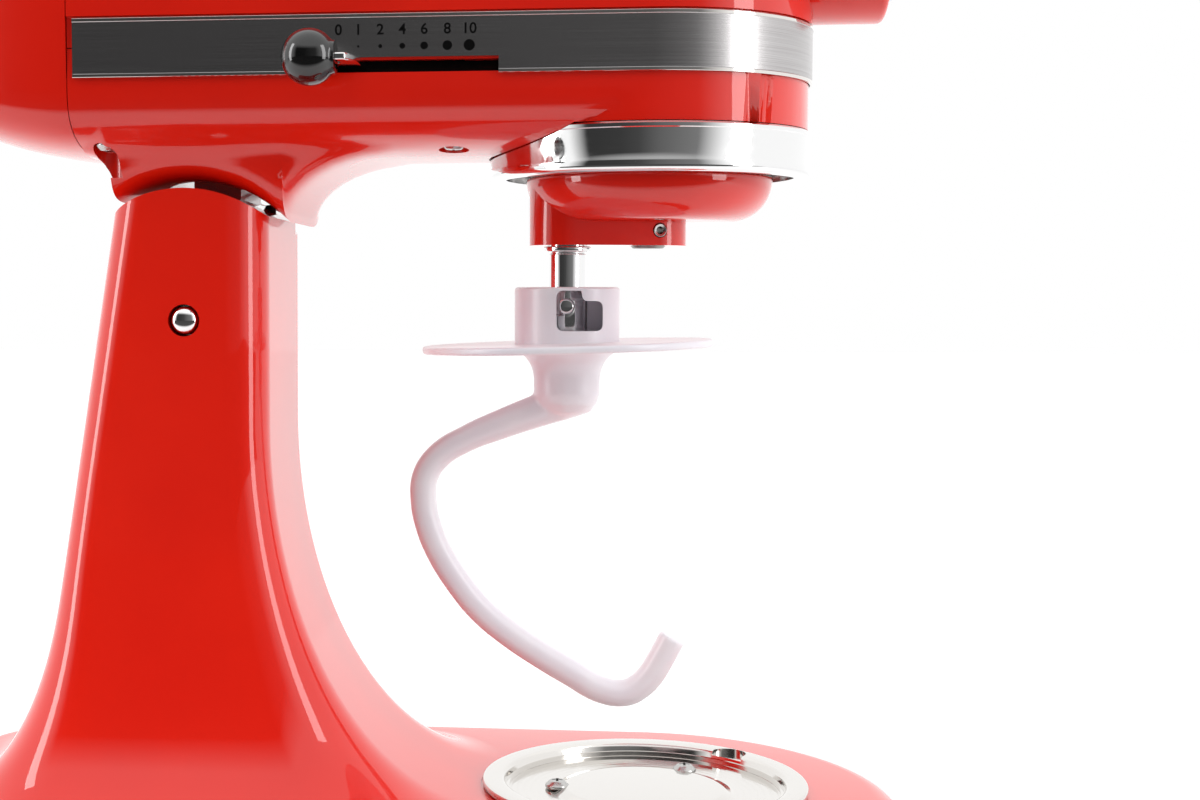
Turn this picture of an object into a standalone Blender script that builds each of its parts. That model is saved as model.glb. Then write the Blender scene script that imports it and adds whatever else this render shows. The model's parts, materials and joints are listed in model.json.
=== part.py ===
"""Tilt-head stand mixer, built piece by piece as the real machine comes apart on a bench.

Lengths are in millimetres and become metres when a mesh is made. x runs forward from the bowl axis, y runs
to the side away from the speed lever, and z runs up from the counter. Every point is then shifted along x
so that the frame's origin lies under the middle of the machine.
"""

import math

import bmesh
import bpy
from mathutils import Matrix, Vector

MM = 0.001
GAP = 0.3  # clearance between pieces that touch or turn in one another

# Stand
BASE_RADIUS = 89.0  # round front of the base, about the bowl axis
BASE_REAR = 260.0
REAR_CORNER = 62.0
FOOT_HEIGHT = 4.0
FOOT_RADIUS = 11.0
PAN_TOP = 22.0
DECK_TOP = 38.0
EDGE_ROUND = 12.0
STAND_WALL = 5.0
PLATE_RADIUS = 56.0
PLATE_TOP = 41.0
PLATE_FLOOR = 33.0
PLATE_FLANGE = 8.0
NECK_HALF_WIDTH = 40.0
NECK_FRONT = 126.0
NECK_REAR = 178.0
NECK_REAR_LEAN = 0.156
FRONT_SWEEP = 127.0  # height of the front sweep from the neck down to the deck
FRONT_SWEEP_REACH = 76.0
FLARE_TOP = 150.0

# Hinge
PIVOT_BACK = 152.5
PIVOT_Z = 200.0
PIN_RADIUS = 4.7
SADDLE_RADIUS = 43.5  # round top of the neck, about the hinge pin
SADDLE_GAP = 3.0
TONGUE_HALF_WIDTH = 17.7
TONGUE_EYE = 15.0
TONGUE_FRONT = 15.0
TONGUE_BACK = 1.0
TILT_DEGREES = 27.0
SLOT_BACK = 21.0  # slot in the neck, behind the pin, that the tilting tongue sweeps

# Head
HEAD_HALF_WIDTH = 54.0
HEAD_REAR = 269.0
HEAD_TOP = 353.0
SEAM_BACK = 187.0
UNDERSIDE = 254.5
BAND_BOTTOM = 278.0
BAND_TOP = 297.0
BAND_THICKNESS = 1.0
SHELL = 3.5
JOINT_Z = 287.5  # where the upper housing meets the lower housing, behind the band
UPPER_FULLNESS = 2.7
LOWER_FULLNESS = 3.2
RING_TOP = 262.6
RING_BOTTOM = 247.0
RING_WALL = 5.5
GEARCASE_FLOOR = 268.0
HUB_RADIUS = 25.0
HUB_Z = BAND_TOP + HUB_RADIUS + 2  # the barrel clears the trim band
HUB_FRONT = HEAD_HALF_WIDTH + 23.5
HUB_BORE = 17.0
SLOT_START = -99.6
SLOT_END = -48.0
LEVER_TRAVEL = 41.4
LEVER_Z = 281.0

# Drive
TOOTH = 1.5  # module of the spur and internal gears
INTERNAL_TEETH = 56
BEATER_TEETH = 18
DRIVE_TOOTH = 2.0
CENTRE_TEETH = 32
DRIVE_TEETH = 10
BEVEL_TOOTH = 2.4
BEVEL_TEETH = 20
HUB_TEETH = 10
WORM_TOOTH = 2.0
WHEEL_TEETH = 20
WORM_STARTS = 2
WORM_PITCH_RADIUS = 6.0
MOTOR_Z = 305.0
CENTRE_SHAFT_RADIUS = 6.0
PLANETARY_DEGREES = 197.0  # where the beater stands at rest
PLANETARY_RADIUS = 41.5
PLANETARY_TOP = 248.0
PLANETARY_BOTTOM = 233.0
ARM_RADIUS = 12.8
ARM_BOTTOM = 225.0

# Beater shaft and dough hook
SHAFT_RADIUS = 6.35
SHAFT_BOTTOM = 194.0
CROSS_PIN_Z = 204.6
CROSS_PIN_RADIUS = 2.6
CROSS_PIN_REACH = 13.5
COLLAR_RADIUS = 17.7
COLLAR_TOP = 211.0
COLLAR_BOTTOM = 191.0
DISC_RADIUS = 49.0
DISC_THICKNESS = 2.6
DISC_TILT_DEGREES = 1.7
HOOK_RADIUS = 4.65
STEM_RADIUS = 11.2

# Worked out from the values above
SHIFT_X = (HEAD_REAR - BASE_RADIUS) / 2
RING_RADIUS = HEAD_HALF_WIDTH
BODY_HALF_WIDTH = HEAD_HALF_WIDTH - BAND_THICKNESS
TROUGH_DEPTH = BAND_BOTTOM - UNDERSIDE
DOME_HEIGHT = HEAD_TOP - BAND_TOP
BEATER_OFFSET = TOOTH * (INTERNAL_TEETH - BEATER_TEETH) / 2
DRIVE_DISTANCE = DRIVE_TOOTH * (CENTRE_TEETH + DRIVE_TEETH) / 2
WHEEL_RADIUS = WORM_TOOTH * WHEEL_TEETH / 2
WORM_CENTRES = WHEEL_RADIUS + WORM_PITCH_RADIUS
DRIVE_X = -math.sqrt(DRIVE_DISTANCE**2 - WORM_CENTRES**2)
DRIVE_Y = WORM_CENTRES
PLANET_TURN = math.radians(PLANETARY_DEGREES)
BEATER_X = BEATER_OFFSET * math.cos(PLANET_TURN)
BEATER_Y = BEATER_OFFSET * math.sin(PLANET_TURN)

# Places of screws, bores and small pieces
HEIGHT_SCREW = (-PIVOT_BACK + 21.8, 0, PIVOT_Z)
LATCH_DISTANCE = SADDLE_RADIUS + SADDLE_GAP + 2
LATCH_ANGLE = math.radians(100)
LATCH_AXIS = (
    -PIVOT_BACK + LATCH_DISTANCE * math.cos(LATCH_ANGLE),
    0,
    PIVOT_Z + LATCH_DISTANCE * math.sin(LATCH_ANGLE),
)
LATCH_RADIUS = 8.5
LOCK_LEVER_REACH = 20.0
LOCK_LEVER_DROP = 12.0
LATCH_LOW = 24.0
LATCH_HIGH = 33.0
SET_SCREW_RADIUS = 2.5
PEDESTAL_SCREWS = [(-95, -66), (-95, 66), (-180, -66), (-180, 66)]
PLATE_SCREWS = [(30 * math.cos(math.radians(a)), 30 * math.sin(math.radians(a))) for a in (60, 180, 300)]
FOOT_PLACES = [(62, 0), (-30, -68), (-30, 68), (-215, -54), (-215, 54)]
HOUSING_SCREWS = [(-64, -30, 259), (-64, 30, 259), (-178, -37, 259), (-178, 37, 259)]
KNOB_AXIS = (HEAD_HALF_WIDTH + 8, 0, HUB_Z)  # ahead of the dome, so the knob turns clear of it
BRUSH_CAP_RADIUS = 5.5
BRUSH_AXIS = (-157.0, 0, MOTOR_Z + 3.5)
GLAND = (-SEAM_BACK, 0, 276.0)
CAP_SCREW = (-SEAM_BACK, 0, 303.0)
ROLL_PIN_Z = 230.0
HOOK_ROUTE = [(3, 171), (-8, 168), (-22, 164), (-36, 158), (-45, 150.5), (-48.8, 138), (-43, 119),
    (-29.5, 100.5),
              (-8.5, 85), (8, 75.2), (15, 72.6), (22, 73), (28.5, 78), (36.5, 93)]


def paint(name, colour, metallic, roughness):
    """A Principled material."""
    material = bpy.data.materials.new(name)
    material.use_nodes = True
    shader = material.node_tree.nodes["Principled BSDF"]
    shader.inputs["Base Color"].default_value = (*colour, 1)
    shader.inputs["Metallic"].default_value = metallic
    shader.inputs["Roughness"].default_value = roughness
    material.diffuse_color = (*colour, 1)
    return material


def finish(name, mesh_data, material, origin):
    """Closes off a bmesh as a named object whose origin is at the given point."""
    bmesh.ops.recalc_face_normals(mesh_data, faces=mesh_data.faces)
    mesh = bpy.data.meshes.new(name)
    mesh_data.to_mesh(mesh)
    mesh_data.free()
    home = Vector(((origin[0] + SHIFT_X) * MM, origin[1] * MM, origin[2] * MM))
    mesh.transform(Matrix.Translation(-home))
    mesh.materials.append(material)
    mesh.shade_smooth()
    mesh.set_sharp_from_angle(angle=math.radians(35))
    piece = bpy.data.objects.new(name, mesh)
    piece.location = home
    bpy.context.scene.collection.objects.link(piece)
    return piece


def skin(name, loops, material, ring=False, move=None, origin=(0, 0, 0)):
    """A solid through loops of equal length, capped at both ends, or joined end to start as a ring."""
    mesh_data = bmesh.new()
    move = move or Matrix.Identity(4)
    rings = []
    for loop in loops:
        points = [move @ Vector(point) for point in loop]
        rings.append([mesh_data.verts.new(((p.x + SHIFT_X) * MM, p.y * MM, p.z * MM)) for p in points])
    followers = rings[1:] + rings[:1] if ring else rings[1:]
    for low, high in zip(rings, followers):
        for i in range(len(low)):
            j = (i + 1) % len(low)
            mesh_data.faces.new((low[i], low[j], high[j], high[i]))
    if not ring:
        mesh_data.faces.new(rings[0])
        mesh_data.faces.new(list(reversed(rings[-1])))
    return finish(name, mesh_data, material, origin)


def lie(along, centre, radius, angle, height):
    """The point at a radius and angle about an axis along X, Y or Z, at a height along that axis."""
    a, b = radius * math.cos(angle), radius * math.sin(angle)
    offset = {"X": (height, a, b), "Y": (a, height, b), "Z": (a, b, height)}[along]
    return tuple(c + o for c, o in zip(centre, offset))


def turned(name, profile, material, centre=(0, 0, 0), along="Z", steps=32, ring=False, **options):
    """A solid of revolution through (radius, height) points, about an axis through the centre."""
    angles = [2 * math.pi * i / steps for i in range(steps)]
    loops = [[lie(along, centre, radius, angle, height) for angle in angles] for radius, height in profile]
    return skin(name, loops, material, ring, **options)


def block(name, low, high, material, **options):
    """A box between two corners."""
    corners = [(low[0], low[1]), (high[0], low[1]), (high[0], high[1]), (low[0], high[1])]
    loops = [[(x, y, z) for x, y in corners] for z in (low[2], high[2])]
    return skin(name, loops, material, **options)


def prism(name, outline, low, high, material, along="Y", **options):
    """A straight extrusion of an (x, z) outline along Y, a (y, z) outline along X or an (x, y) one along Z."""
    if along == "Y":
        loops = [[(x, level, z) for x, z in outline] for level in (low, high)]
    elif along == "X":
        loops = [[(level, y, z) for y, z in outline] for level in (low, high)]
    else:
        loops = [[(x, y, level) for x, y in outline] for level in (low, high)]
    return skin(name, loops, material, **options)


def combine(piece, operation, tools):
    for tool in tools:
        tool.hide_render = True
        tool.display_type = "WIRE"
        modifier = piece.modifiers.new(tool.name, "BOOLEAN")
        modifier.operation = operation
        modifier.object = tool
    return piece


def cut(piece, *tools):
    return combine(piece, "DIFFERENCE", tools)


def join(piece, *tools):
    return combine(piece, "UNION", tools)


def arc(centre_x, centre_y, radius, start, end, steps):
    """Points on an arc, in degrees, both ends included."""
    angles = [math.radians(start + (end - start) * i / steps) for i in range(steps + 1)]
    return [(centre_x + radius * math.cos(a), centre_y + radius * math.sin(a)) for a in angles]


def full_power(value, fullness):
    return math.copysign(abs(value) ** (2 / fullness), value)


def fall(progress, fullness):
    """A superellipse quarter: 1 at progress 0, 0 at progress 1."""
    return (1 - min(max(progress, 0), 1) ** fullness) ** (1 / fullness)


# ---------------------------------------------------------------- stand


def base_outline(inset):
    """The base seen from above: a half circle in front, straight sides and two round rear corners."""
    half, corner = BASE_RADIUS - inset, REAR_CORNER - inset
    rear = -BASE_REAR + REAR_CORNER
    outline = arc(0, 0, half, -90, 90, 16)
    outline += arc(rear, BASE_RADIUS - REAR_CORNER, corner, 90, 180, 5)
    outline += arc(rear, REAR_CORNER - BASE_RADIUS, corner, 180, 270, 5)
    return outline


def rounded_box(rear, front, half_width, corner, steps=3):
    """A rectangle with round corners, seen from above."""
    outline = arc(front - corner, half_width - corner, corner, 0, 90, steps)
    outline += arc(rear + corner, half_width - corner, corner, 90, 180, steps)
    outline += arc(rear + corner, corner - half_width, corner, 180, 270, steps)
    outline += arc(front - corner, corner - half_width, corner, 270, 360, steps)
    return outline


def neck_section(z, inset=0.0):
    """The column at a height: a slim box at the neck that sweeps out to the edge of the deck."""
    sweep = (DECK_TOP + FRONT_SWEEP - z) / FRONT_SWEEP
    front = -NECK_FRONT + FRONT_SWEEP_REACH * (1 - fall(sweep, 2))
    spread = 1 - fall((FLARE_TOP - z) / (FLARE_TOP - DECK_TOP), 2.2)
    half_width = NECK_HALF_WIDTH + (BASE_RADIUS - EDGE_ROUND - NECK_HALF_WIDTH) * spread
    straight_rear = NECK_REAR + NECK_REAR_LEAN * (PIVOT_Z + 38 - z)
    rear_end = BASE_REAR - EDGE_ROUND
    kick = 1 - fall((FLARE_TOP - 40 - z) / (FLARE_TOP - 40 - DECK_TOP), 2.5)
    foot_rear = NECK_REAR + NECK_REAR_LEAN * (PIVOT_Z + 38 - DECK_TOP)
    rear = -straight_rear - (rear_end - foot_rear) * kick
    corner = 15 + 30 * spread
    return rounded_box(rear + inset, front - inset, half_width - inset, max(corner - inset, 4))


def build_pedestal(material):
    """Column and deck in one casting, hollow from below, with a saddle and a slot for the head's tongue."""
    low = PAN_TOP + GAP
    shoulder = DECK_TOP - EDGE_ROUND
    levels = [(0, low), (0, shoulder)]
    for degrees in (35, 65, 90):
        turn = math.radians(degrees)
        levels.append((EDGE_ROUND * (1 - math.cos(turn)), shoulder + EDGE_ROUND * math.sin(turn)))
    slab = [[(x, y, z) for x, y in base_outline(inset)] for inset, z in levels]
    piece = skin("pedestal", slab, material)

    heights = [DECK_TOP - 1, DECK_TOP + 0.4, DECK_TOP + 2, 44, 51, 62, 78, 98, 122, 148]
    column = [[(x, y, z) for x, y in neck_section(z)] for z in heights + [PIVOT_Z + SADDLE_RADIUS + 4]]
    hollow_levels = [PAN_TOP - 1, DECK_TOP + 14, 75, 110, PIVOT_Z - 26]
    hollow = [[(x, y, z) for x, y in neck_section(max(z, DECK_TOP + 14),
        STAND_WALL)] for z in hollow_levels]
    deck_hollow = [[(x, y, z) for x, y in base_outline(STAND_WALL)] for z in (low - 1,
        DECK_TOP - STAND_WALL)]
    join(piece, skin("column_form", column, material))

    pivot_x = -PIVOT_BACK
    saddle = arc(pivot_x, PIVOT_Z, SADDLE_RADIUS, 20, 160, 20)
    top = PIVOT_Z + SADDLE_RADIUS + 20
    saddle += [(pivot_x - 60, top), (pivot_x + 60, top)]
    width = NECK_HALF_WIDTH + 5
    slot_half = TONGUE_HALF_WIDTH + GAP
    swing = math.degrees(math.asin((LATCH_RADIUS + 1) / LATCH_DISTANCE)) + 2
    first = math.degrees(LATCH_ANGLE) - swing
    last = math.degrees(LATCH_ANGLE) + TILT_DEGREES + swing
    groove = arc(pivot_x, PIVOT_Z, LATCH_DISTANCE - LATCH_RADIUS - 0.7, first, last, 8)
    groove += arc(pivot_x, PIVOT_Z, LATCH_DISTANCE + 20, last, first, 4)
    slot_bottom = PIVOT_Z - TONGUE_EYE - 2
    plate_seat = DECK_TOP - STAND_WALL / 2
    cut(
        piece,
        skin("deck_hollow", deck_hollow, material),
        skin("column_hollow", hollow, material),
        prism("saddle_cutter", saddle, -width, width, material),
        block(
            "tongue_slot",
            (pivot_x - SLOT_BACK, -slot_half, slot_bottom),
            (pivot_x + TONGUE_FRONT + 2, slot_half, top),
            material,
        ),
        turned("pin_bore", [(PIN_RADIUS + GAP, -width), (PIN_RADIUS + GAP, width)], material,
               (pivot_x, 0, PIVOT_Z), "Y", 24),
        turned("plate_seat", [(PLATE_RADIUS - PLATE_FLANGE + 1, plate_seat),
            (PLATE_RADIUS - PLATE_FLANGE + 1, 50)],
               material, steps=48),
        turned("plate_land", [(PLATE_RADIUS + 0.5, DECK_TOP + 0.01), (PLATE_RADIUS + 0.5, 60)], material,
            steps=48),
        turned("height_screw_bore", [(2.3, -30), (2.3, 50)], material, HEIGHT_SCREW, steps=12),
        prism("latch_groove", groove, LATCH_LOW - 0.5, LATCH_HIGH + 0.5, material),
        turned("set_screw_bore", [(SET_SCREW_RADIUS + GAP, -60), (SET_SCREW_RADIUS + GAP, -PIN_RADIUS + 1)],
               material, (pivot_x, -NECK_HALF_WIDTH + 10, PIVOT_Z), "X", 12),
    )
    for x, y in PEDESTAL_SCREWS:
        boss = turned(f"boss_form_{x:.0f}_{y:.0f}", [(8, low), (8, DECK_TOP - STAND_WALL + 1)], material,
            (x, y, 0), steps=10)
        bore = turned(f"boss_bore_{x:.0f}_{y:.0f}", [(2.5 + GAP, low - 1), (2.5 + GAP, 33)], material,
            (x, y, 0), steps=8)
        join(piece, boss)
        cut(piece, bore)
    for x, y in PLATE_SCREWS:
        cut(piece, turned(f"plate_bore_{x:.0f}_{y:.0f}", [(2.3, 28), (2.3, 50)], material, (x, y, 0),
            steps=8))
    return piece


def build_base_pan(material):
    """Shallow pan that closes the stand from below and carries the feet."""
    outline = [[(x, y, z) for x, y in base_outline(inset)] for inset,
        z in ((3, FOOT_HEIGHT), (0, FOOT_HEIGHT + 3), (0, PAN_TOP))]
    piece = skin("base_pan", outline, material)
    floor = FOOT_HEIGHT + 4
    hollow = [[(x, y, z) for x, y in base_outline(STAND_WALL)] for z in (floor, PAN_TOP + 1)]
    cut(piece, skin("pan_hollow", hollow, material))
    for x, y in PEDESTAL_SCREWS:
        place = f"{x:.0f}_{y:.0f}"
        join(piece, turned(f"pan_boss_{place}", [(8, floor - 1), (8, PAN_TOP)], material, (x, y, 0),
            steps=10))
        cut(
            piece,
            turned(f"pan_bore_{place}", [(2.5 + GAP, 3), (2.5 + GAP, PAN_TOP + 1)], material, (x, y, 0),
                steps=8),
            turned(f"pan_counterbore_{place}", [(5.4, 3), (5.4, 9)], material, (x, y, 0), steps=10),
        )
    for x, y in FOOT_PLACES:
        cut(piece, turned(f"foot_bore_{x:.0f}_{y:.0f}", [(4 + GAP, 3), (4 + GAP, floor + 1)], material,
            (x, y, 0), steps=10))
    return piece


def build_feet(material):
    """Rubber feet, each held by a plug in the pan."""
    top = FOOT_HEIGHT - GAP
    profile = [(FOOT_RADIUS - 1.5, 0), (FOOT_RADIUS, 1.5), (FOOT_RADIUS, top), (3.9, top),
        (3.9, FOOT_HEIGHT + 3)]
    return [turned(f"foot_{i}", profile, material, (x, y, 0), steps=12) for i,
        (x, y) in enumerate(FOOT_PLACES, 1)]


def build_pedestal_screws(material):
    """Screws from below that pull the pan up to the pedestal."""
    profile = [(4.6, 5), (4.6, 8.7), (2.5, 8.7), (2.5, 32)]
    return [
        turned(f"pedestal_screw_{i}", profile, material, (x, y, 0), steps=8)
        for i, (x, y) in enumerate(PEDESTAL_SCREWS, 1)
    ]


def build_clamp_plate(material):
    """Bowl clamp plate: a rolled rim round a pan with a raised middle and two entries for the bowl's lugs."""
    inner = PLATE_RADIUS - PLATE_FLANGE
    low = DECK_TOP + GAP
    profile = [
        (PLATE_RADIUS, low), (PLATE_RADIUS, PLATE_TOP - 1.4), (PLATE_RADIUS - 2, PLATE_TOP),
        (inner + 1, PLATE_TOP), (inner, PLATE_TOP - 1), (inner - 2, PLATE_FLOOR + 3.2),
        (30, PLATE_FLOOR + 3.2), (26, PLATE_FLOOR + 4.6), (8, PLATE_FLOOR + 4.6),
        (8, PLATE_FLOOR + 2.8), (inner - 1, PLATE_FLOOR + 2.8), (inner - 1, low),
    ]
    piece = turned("clamp_plate", profile, material, steps=40, ring=True)
    for x, y in PLATE_SCREWS:
        cut(piece, turned(f"clamp_bore_{x:.0f}_{y:.0f}", [(2.3, 30), (2.3, 45)], material, (x, y, 0),
            steps=8))
    return piece


def build_clamp_screws(material):
    top = PLATE_FLOOR + 6.6
    profile = [(2, 30), (2, PLATE_FLOOR + 4.9), (4.2, PLATE_FLOOR + 4.9), (4.2, top - 0.8), (3, top)]
    return [
        turned(f"clamp_screw_{i}", profile, material, (x, y, 0), steps=8)
        for i, (x, y) in enumerate(PLATE_SCREWS, 1)
    ]


# ---------------------------------------------------------------- hinge, lock and height screw


def build_hinge_pin(material):
    """Pin across the neck, with domed ends just proud of its sides."""
    reach = NECK_HALF_WIDTH + 0.8
    profile = [(PIN_RADIUS * 0.35, -reach), (PIN_RADIUS * 0.8, -reach + 0.5), (PIN_RADIUS, -reach + 1.8)]
    profile += [(radius, -height) for radius, height in reversed(profile)]
    return turned("hinge_pin", profile, material, (-PIVOT_BACK, 0, PIVOT_Z), "Y", 16)


def build_set_screw(material):
    """Grub screw from the rear of the neck that keeps the pin from walking out."""
    centre = (-PIVOT_BACK, -NECK_HALF_WIDTH + 10, PIVOT_Z)
    profile = [(SET_SCREW_RADIUS, -28), (SET_SCREW_RADIUS, -PIN_RADIUS - 2 * GAP)]
    return turned("hinge_set_screw", profile, material, centre, "X", 12)


def build_height_screw(material):
    """Screw in the saddle that the head rests on, which sets how high the beater rides."""
    x, y, z = HEIGHT_SCREW
    head = math.sqrt((SADDLE_RADIUS + SADDLE_GAP) ** 2 - (x + PIVOT_BACK + 2) ** 2) - GAP
    profile = [(2, -24), (2, head - 1), (1.6, head)]
    return turned("height_screw", profile, material, (x, y, z), steps=12, origin=HEIGHT_SCREW)


def build_lock(shaft_material, lever_material):
    """Lock shaft with a half-round latch that swings down into the saddle, and the lever that turns it."""
    x, _, z = LATCH_AXIS
    reach = NECK_HALF_WIDTH + 6
    shaft = turned("lock_shaft", [(3, LATCH_LOW), (3, reach)], shaft_material, LATCH_AXIS, "Y", 16,
        origin=LATCH_AXIS)
    away = math.degrees(LATCH_ANGLE) - 15
    half_round = arc(x, z, LATCH_RADIUS, away - 38, away + 52, 10) + [(x - 1, z - 1)]
    join(shaft, prism("latch_form", half_round, LATCH_LOW + 0.4, LATCH_HIGH - 0.4, shaft_material))
    end_x, end_z = x + LOCK_LEVER_REACH, z - LOCK_LEVER_DROP
    plate = arc(x, z, 6.5, 60, 240, 10) + arc(end_x, end_z, 4.5, 240, 420, 8)
    lever = prism("lock_lever", plate, reach - 3.4, reach - 0.4, lever_material, origin=LATCH_AXIS)
    grip = turned(
        "lock_grip", [(4.2, reach - 2), (5.5, reach + 2), (6.5, reach + 12), (5, reach + 15)],
        lever_material, (end_x, 0, end_z), "Y", 20,
    )
    join(lever, grip)
    cut(lever, turned("lock_lever_bore", [(3 + GAP, 35), (3 + GAP, 80)], lever_material, LATCH_AXIS, "Y",
        16))
    return [shaft, lever]


# ---------------------------------------------------------------- head castings


def trough_point(angle, half_width, depth, fullness=LOWER_FULLNESS):
    """A point of the rounded underside, from one side (0) under the middle (90 degrees) to the other."""
    y = half_width * full_power(math.cos(angle), fullness)
    return y, BAND_BOTTOM - depth * full_power(math.sin(angle), fullness)


def stub_depth(x):
    """How far the stub above the saddle hangs below the band, at a place along the head."""
    reach = SADDLE_RADIUS + SADDLE_GAP
    rear, front = -PIVOT_BACK - 24.5, -PIVOT_BACK + 33
    if x < rear:
        start = reach**2 - 24.5**2
        low = PIVOT_Z + math.sqrt(start)
        return BAND_BOTTOM - (low + (UNDERSIDE - low) * fall((x + SEAM_BACK + 1) / (rear + SEAM_BACK + 1), 2))
    if x > front:
        low = PIVOT_Z + math.sqrt(reach**2 - 33**2)
        return BAND_BOTTOM - (low + (UNDERSIDE - low) * fall((-83 - x) / (-83 - front), 2))
    return BAND_BOTTOM - PIVOT_Z - math.sqrt(reach**2 - (x + PIVOT_BACK) ** 2)


def polar_radius(angle, half_width, depth, fullness):
    """Distance from the centre of a superellipse to its edge, at an angle below the horizontal."""
    across = abs(math.cos(angle) / half_width) ** fullness
    down = abs(math.sin(angle) / depth) ** fullness
    return (across + down) ** (-1 / fullness)


def blend_out(first, second, width):
    """The larger of two lengths, rounded over where they cross."""
    share = max(width - abs(first - second), 0) / width
    return max(first, second) + share * share * width / 4


def lower_section(x):
    """The lower housing's outline at a place along the head: a trough that swells down into the stub."""
    extra = stub_depth(x) - TROUGH_DEPTH
    quarter = [0, 14, 25, 33, 39, 44, 50, 58, 72]
    outline = [(BODY_HALF_WIDTH, JOINT_Z - GAP / 2)]
    for degrees in quarter + [90] + [180 - a for a in reversed(quarter)]:
        angle = math.radians(degrees)
        radius = polar_radius(angle, BODY_HALF_WIDTH, TROUGH_DEPTH, LOWER_FULLNESS)
        if extra > 0.01:
            stub = polar_radius(angle, NECK_HALF_WIDTH, TROUGH_DEPTH + extra, 7)
            radius = blend_out(radius, stub, min(9, extra))
        outline.append((radius * math.cos(angle), BAND_BOTTOM - radius * math.sin(angle)))
    outline.append((-BODY_HALF_WIDTH, JOINT_Z - GAP / 2))
    return [(x, y, z) for y, z in outline]


def build_lower_housing(material):
    """Lower housing: trough, round gear case at the front, stub and tongue for the hinge, all one casting."""
    rear, front = -PIVOT_BACK - 24.5, -PIVOT_BACK + 33
    stations = [-SEAM_BACK, -184, -180, -177.6, rear + 0.01]
    stations += [rear + (front - rear) * i / 6 for i in range(1, 6)]
    stations += [front - 0.01, front + 0.6, -116, -110, -102, -93, -83, -2]
    piece = skin("lower_housing", [lower_section(x) for x in stations], material)
    top = JOINT_Z - GAP / 2
    drum = [(BODY_HALF_WIDTH, RING_TOP - 2), (BODY_HALF_WIDTH, top - 0.2)]
    x, z = -PIVOT_BACK, PIVOT_Z
    tongue = arc(x, z, TONGUE_EYE, 96, 360, 14)
    tongue += [(x + TONGUE_FRONT, UNDERSIDE + 2), (x - TONGUE_BACK, UNDERSIDE + 2)]
    join(
        piece,
        turned("gearcase_form", drum, material, steps=40),
        prism("tongue_form", tongue, -TONGUE_HALF_WIDTH, TONGUE_HALF_WIDTH, material),
    )
    inner = BODY_HALF_WIDTH - SHELL
    deep = TROUGH_DEPTH - SHELL

    def hollow(name, low_x, high_x, half_width, depth, fullness):
        loops = []
        for station in (low_x, high_x):
            outline = [trough_point(math.pi * i / 10, half_width, depth, fullness) for i in range(11)]
            outline = [(half_width, JOINT_Z + 5)] + outline + [(-half_width, JOINT_Z + 5)]
            loops.append([(station, y, height) for y, height in outline])
        return skin(name, loops, material)

    cut(
        piece,
        turned("ring_recess", [(RING_RADIUS + GAP, 230), (RING_RADIUS + GAP, RING_TOP + GAP)], material,
            steps=40),
        hollow("motor_hollow", -SEAM_BACK - 1, -RING_RADIUS - 5, inner, deep, LOWER_FULLNESS),
        hollow("gear_hollow", -RING_RADIUS - 8, -5, inner - 2, BAND_BOTTOM - GEARCASE_FLOOR, 8),
        turned("gearcase_hollow", [(inner - 1, GEARCASE_FLOOR), (inner - 1, JOINT_Z + 5)], material,
            steps=32),
        turned("centre_bore", [(CENTRE_SHAFT_RADIUS + GAP, 250), (CENTRE_SHAFT_RADIUS + GAP, 280)],
            material, steps=24),
        turned("drive_bore", [(4 + GAP, 265), (4 + GAP, 280)], material, (DRIVE_X, DRIVE_Y, 0), steps=16),
        turned("tongue_bore", [(PIN_RADIUS + GAP, -30), (PIN_RADIUS + GAP, 30)], material, (x, 0, z),
            "Y", 24),
        block(
            "lever_slot",
            (SLOT_START, -HEAD_HALF_WIDTH - 2, LEVER_Z - 2.2),
            (SLOT_END, -inner + 2, LEVER_Z + 2.2),
            material,
        ),
        turned("latch_pocket", [
            (LATCH_RADIUS + 0.5, LATCH_LOW - 0.5), (LATCH_RADIUS + 0.5, LATCH_HIGH + 0.5),
            (3 + GAP, LATCH_HIGH + 0.5), (3 + GAP, 70),
        ], material, LATCH_AXIS, "Y", 20),
    )
    for i, (place_x, place_y, seat) in enumerate(HOUSING_SCREWS, 1):
        cut(
            piece,
            turned(f"screw_pocket_{i}", [(5, 225), (5, seat)], material, (place_x, place_y, 0), steps=10),
            turned(f"screw_bore_{i}", [(2 + GAP, 225), (2 + GAP, seat + 20)], material,
                (place_x, place_y, 0), steps=8),
        )
    return piece


def build_housing_screws(material):
    """Screws that draw the lower housing up to the upper one."""
    pieces = []
    for i, (x, y, seat) in enumerate(HOUSING_SCREWS, 1):
        profile = [(3.2, seat - 3.4), (4.2, seat - 2.6), (4.2, seat - GAP), (2, seat - GAP), (2, seat + 14)]
        pieces.append(turned(f"housing_screw_{i}", profile, material, (x, y, 0), steps=8))
    return pieces


def crown(x):
    """Share of the full dome height at a place along the head: highest behind the middle."""
    return 1 - 0.055 * ((x + 95) / 150) ** 2


def dome_loop(radius, height, rear, steps=16):
    """A level of the dome, seen from above: straight sides and a round nose, following the crown line."""
    stations = [rear, -140, -95, -45]
    side = [(x, -radius) for x in stations]
    nose = arc(0, 0, radius, -90, 90, steps)
    outline = side + nose + [(x, radius) for x in reversed(stations)]
    return [(x, y, BAND_TOP + height * crown(x) if height > 0 else BAND_TOP + height) for x, y in outline]


def dome_levels(half_width, height, rear, steps=8, around=16):
    """Levels of the dome from the band to its crown."""
    levels = []
    for i in range(steps):
        turn = math.pi / 2 * i / steps
        levels.append(dome_loop(
            half_width * full_power(math.cos(turn), UPPER_FULLNESS),
            height * full_power(math.sin(turn), UPPER_FULLNESS) + 0.01, rear, around,
        ))
    levels.append(dome_loop(half_width * 0.04, height, rear, around))
    return levels


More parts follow.
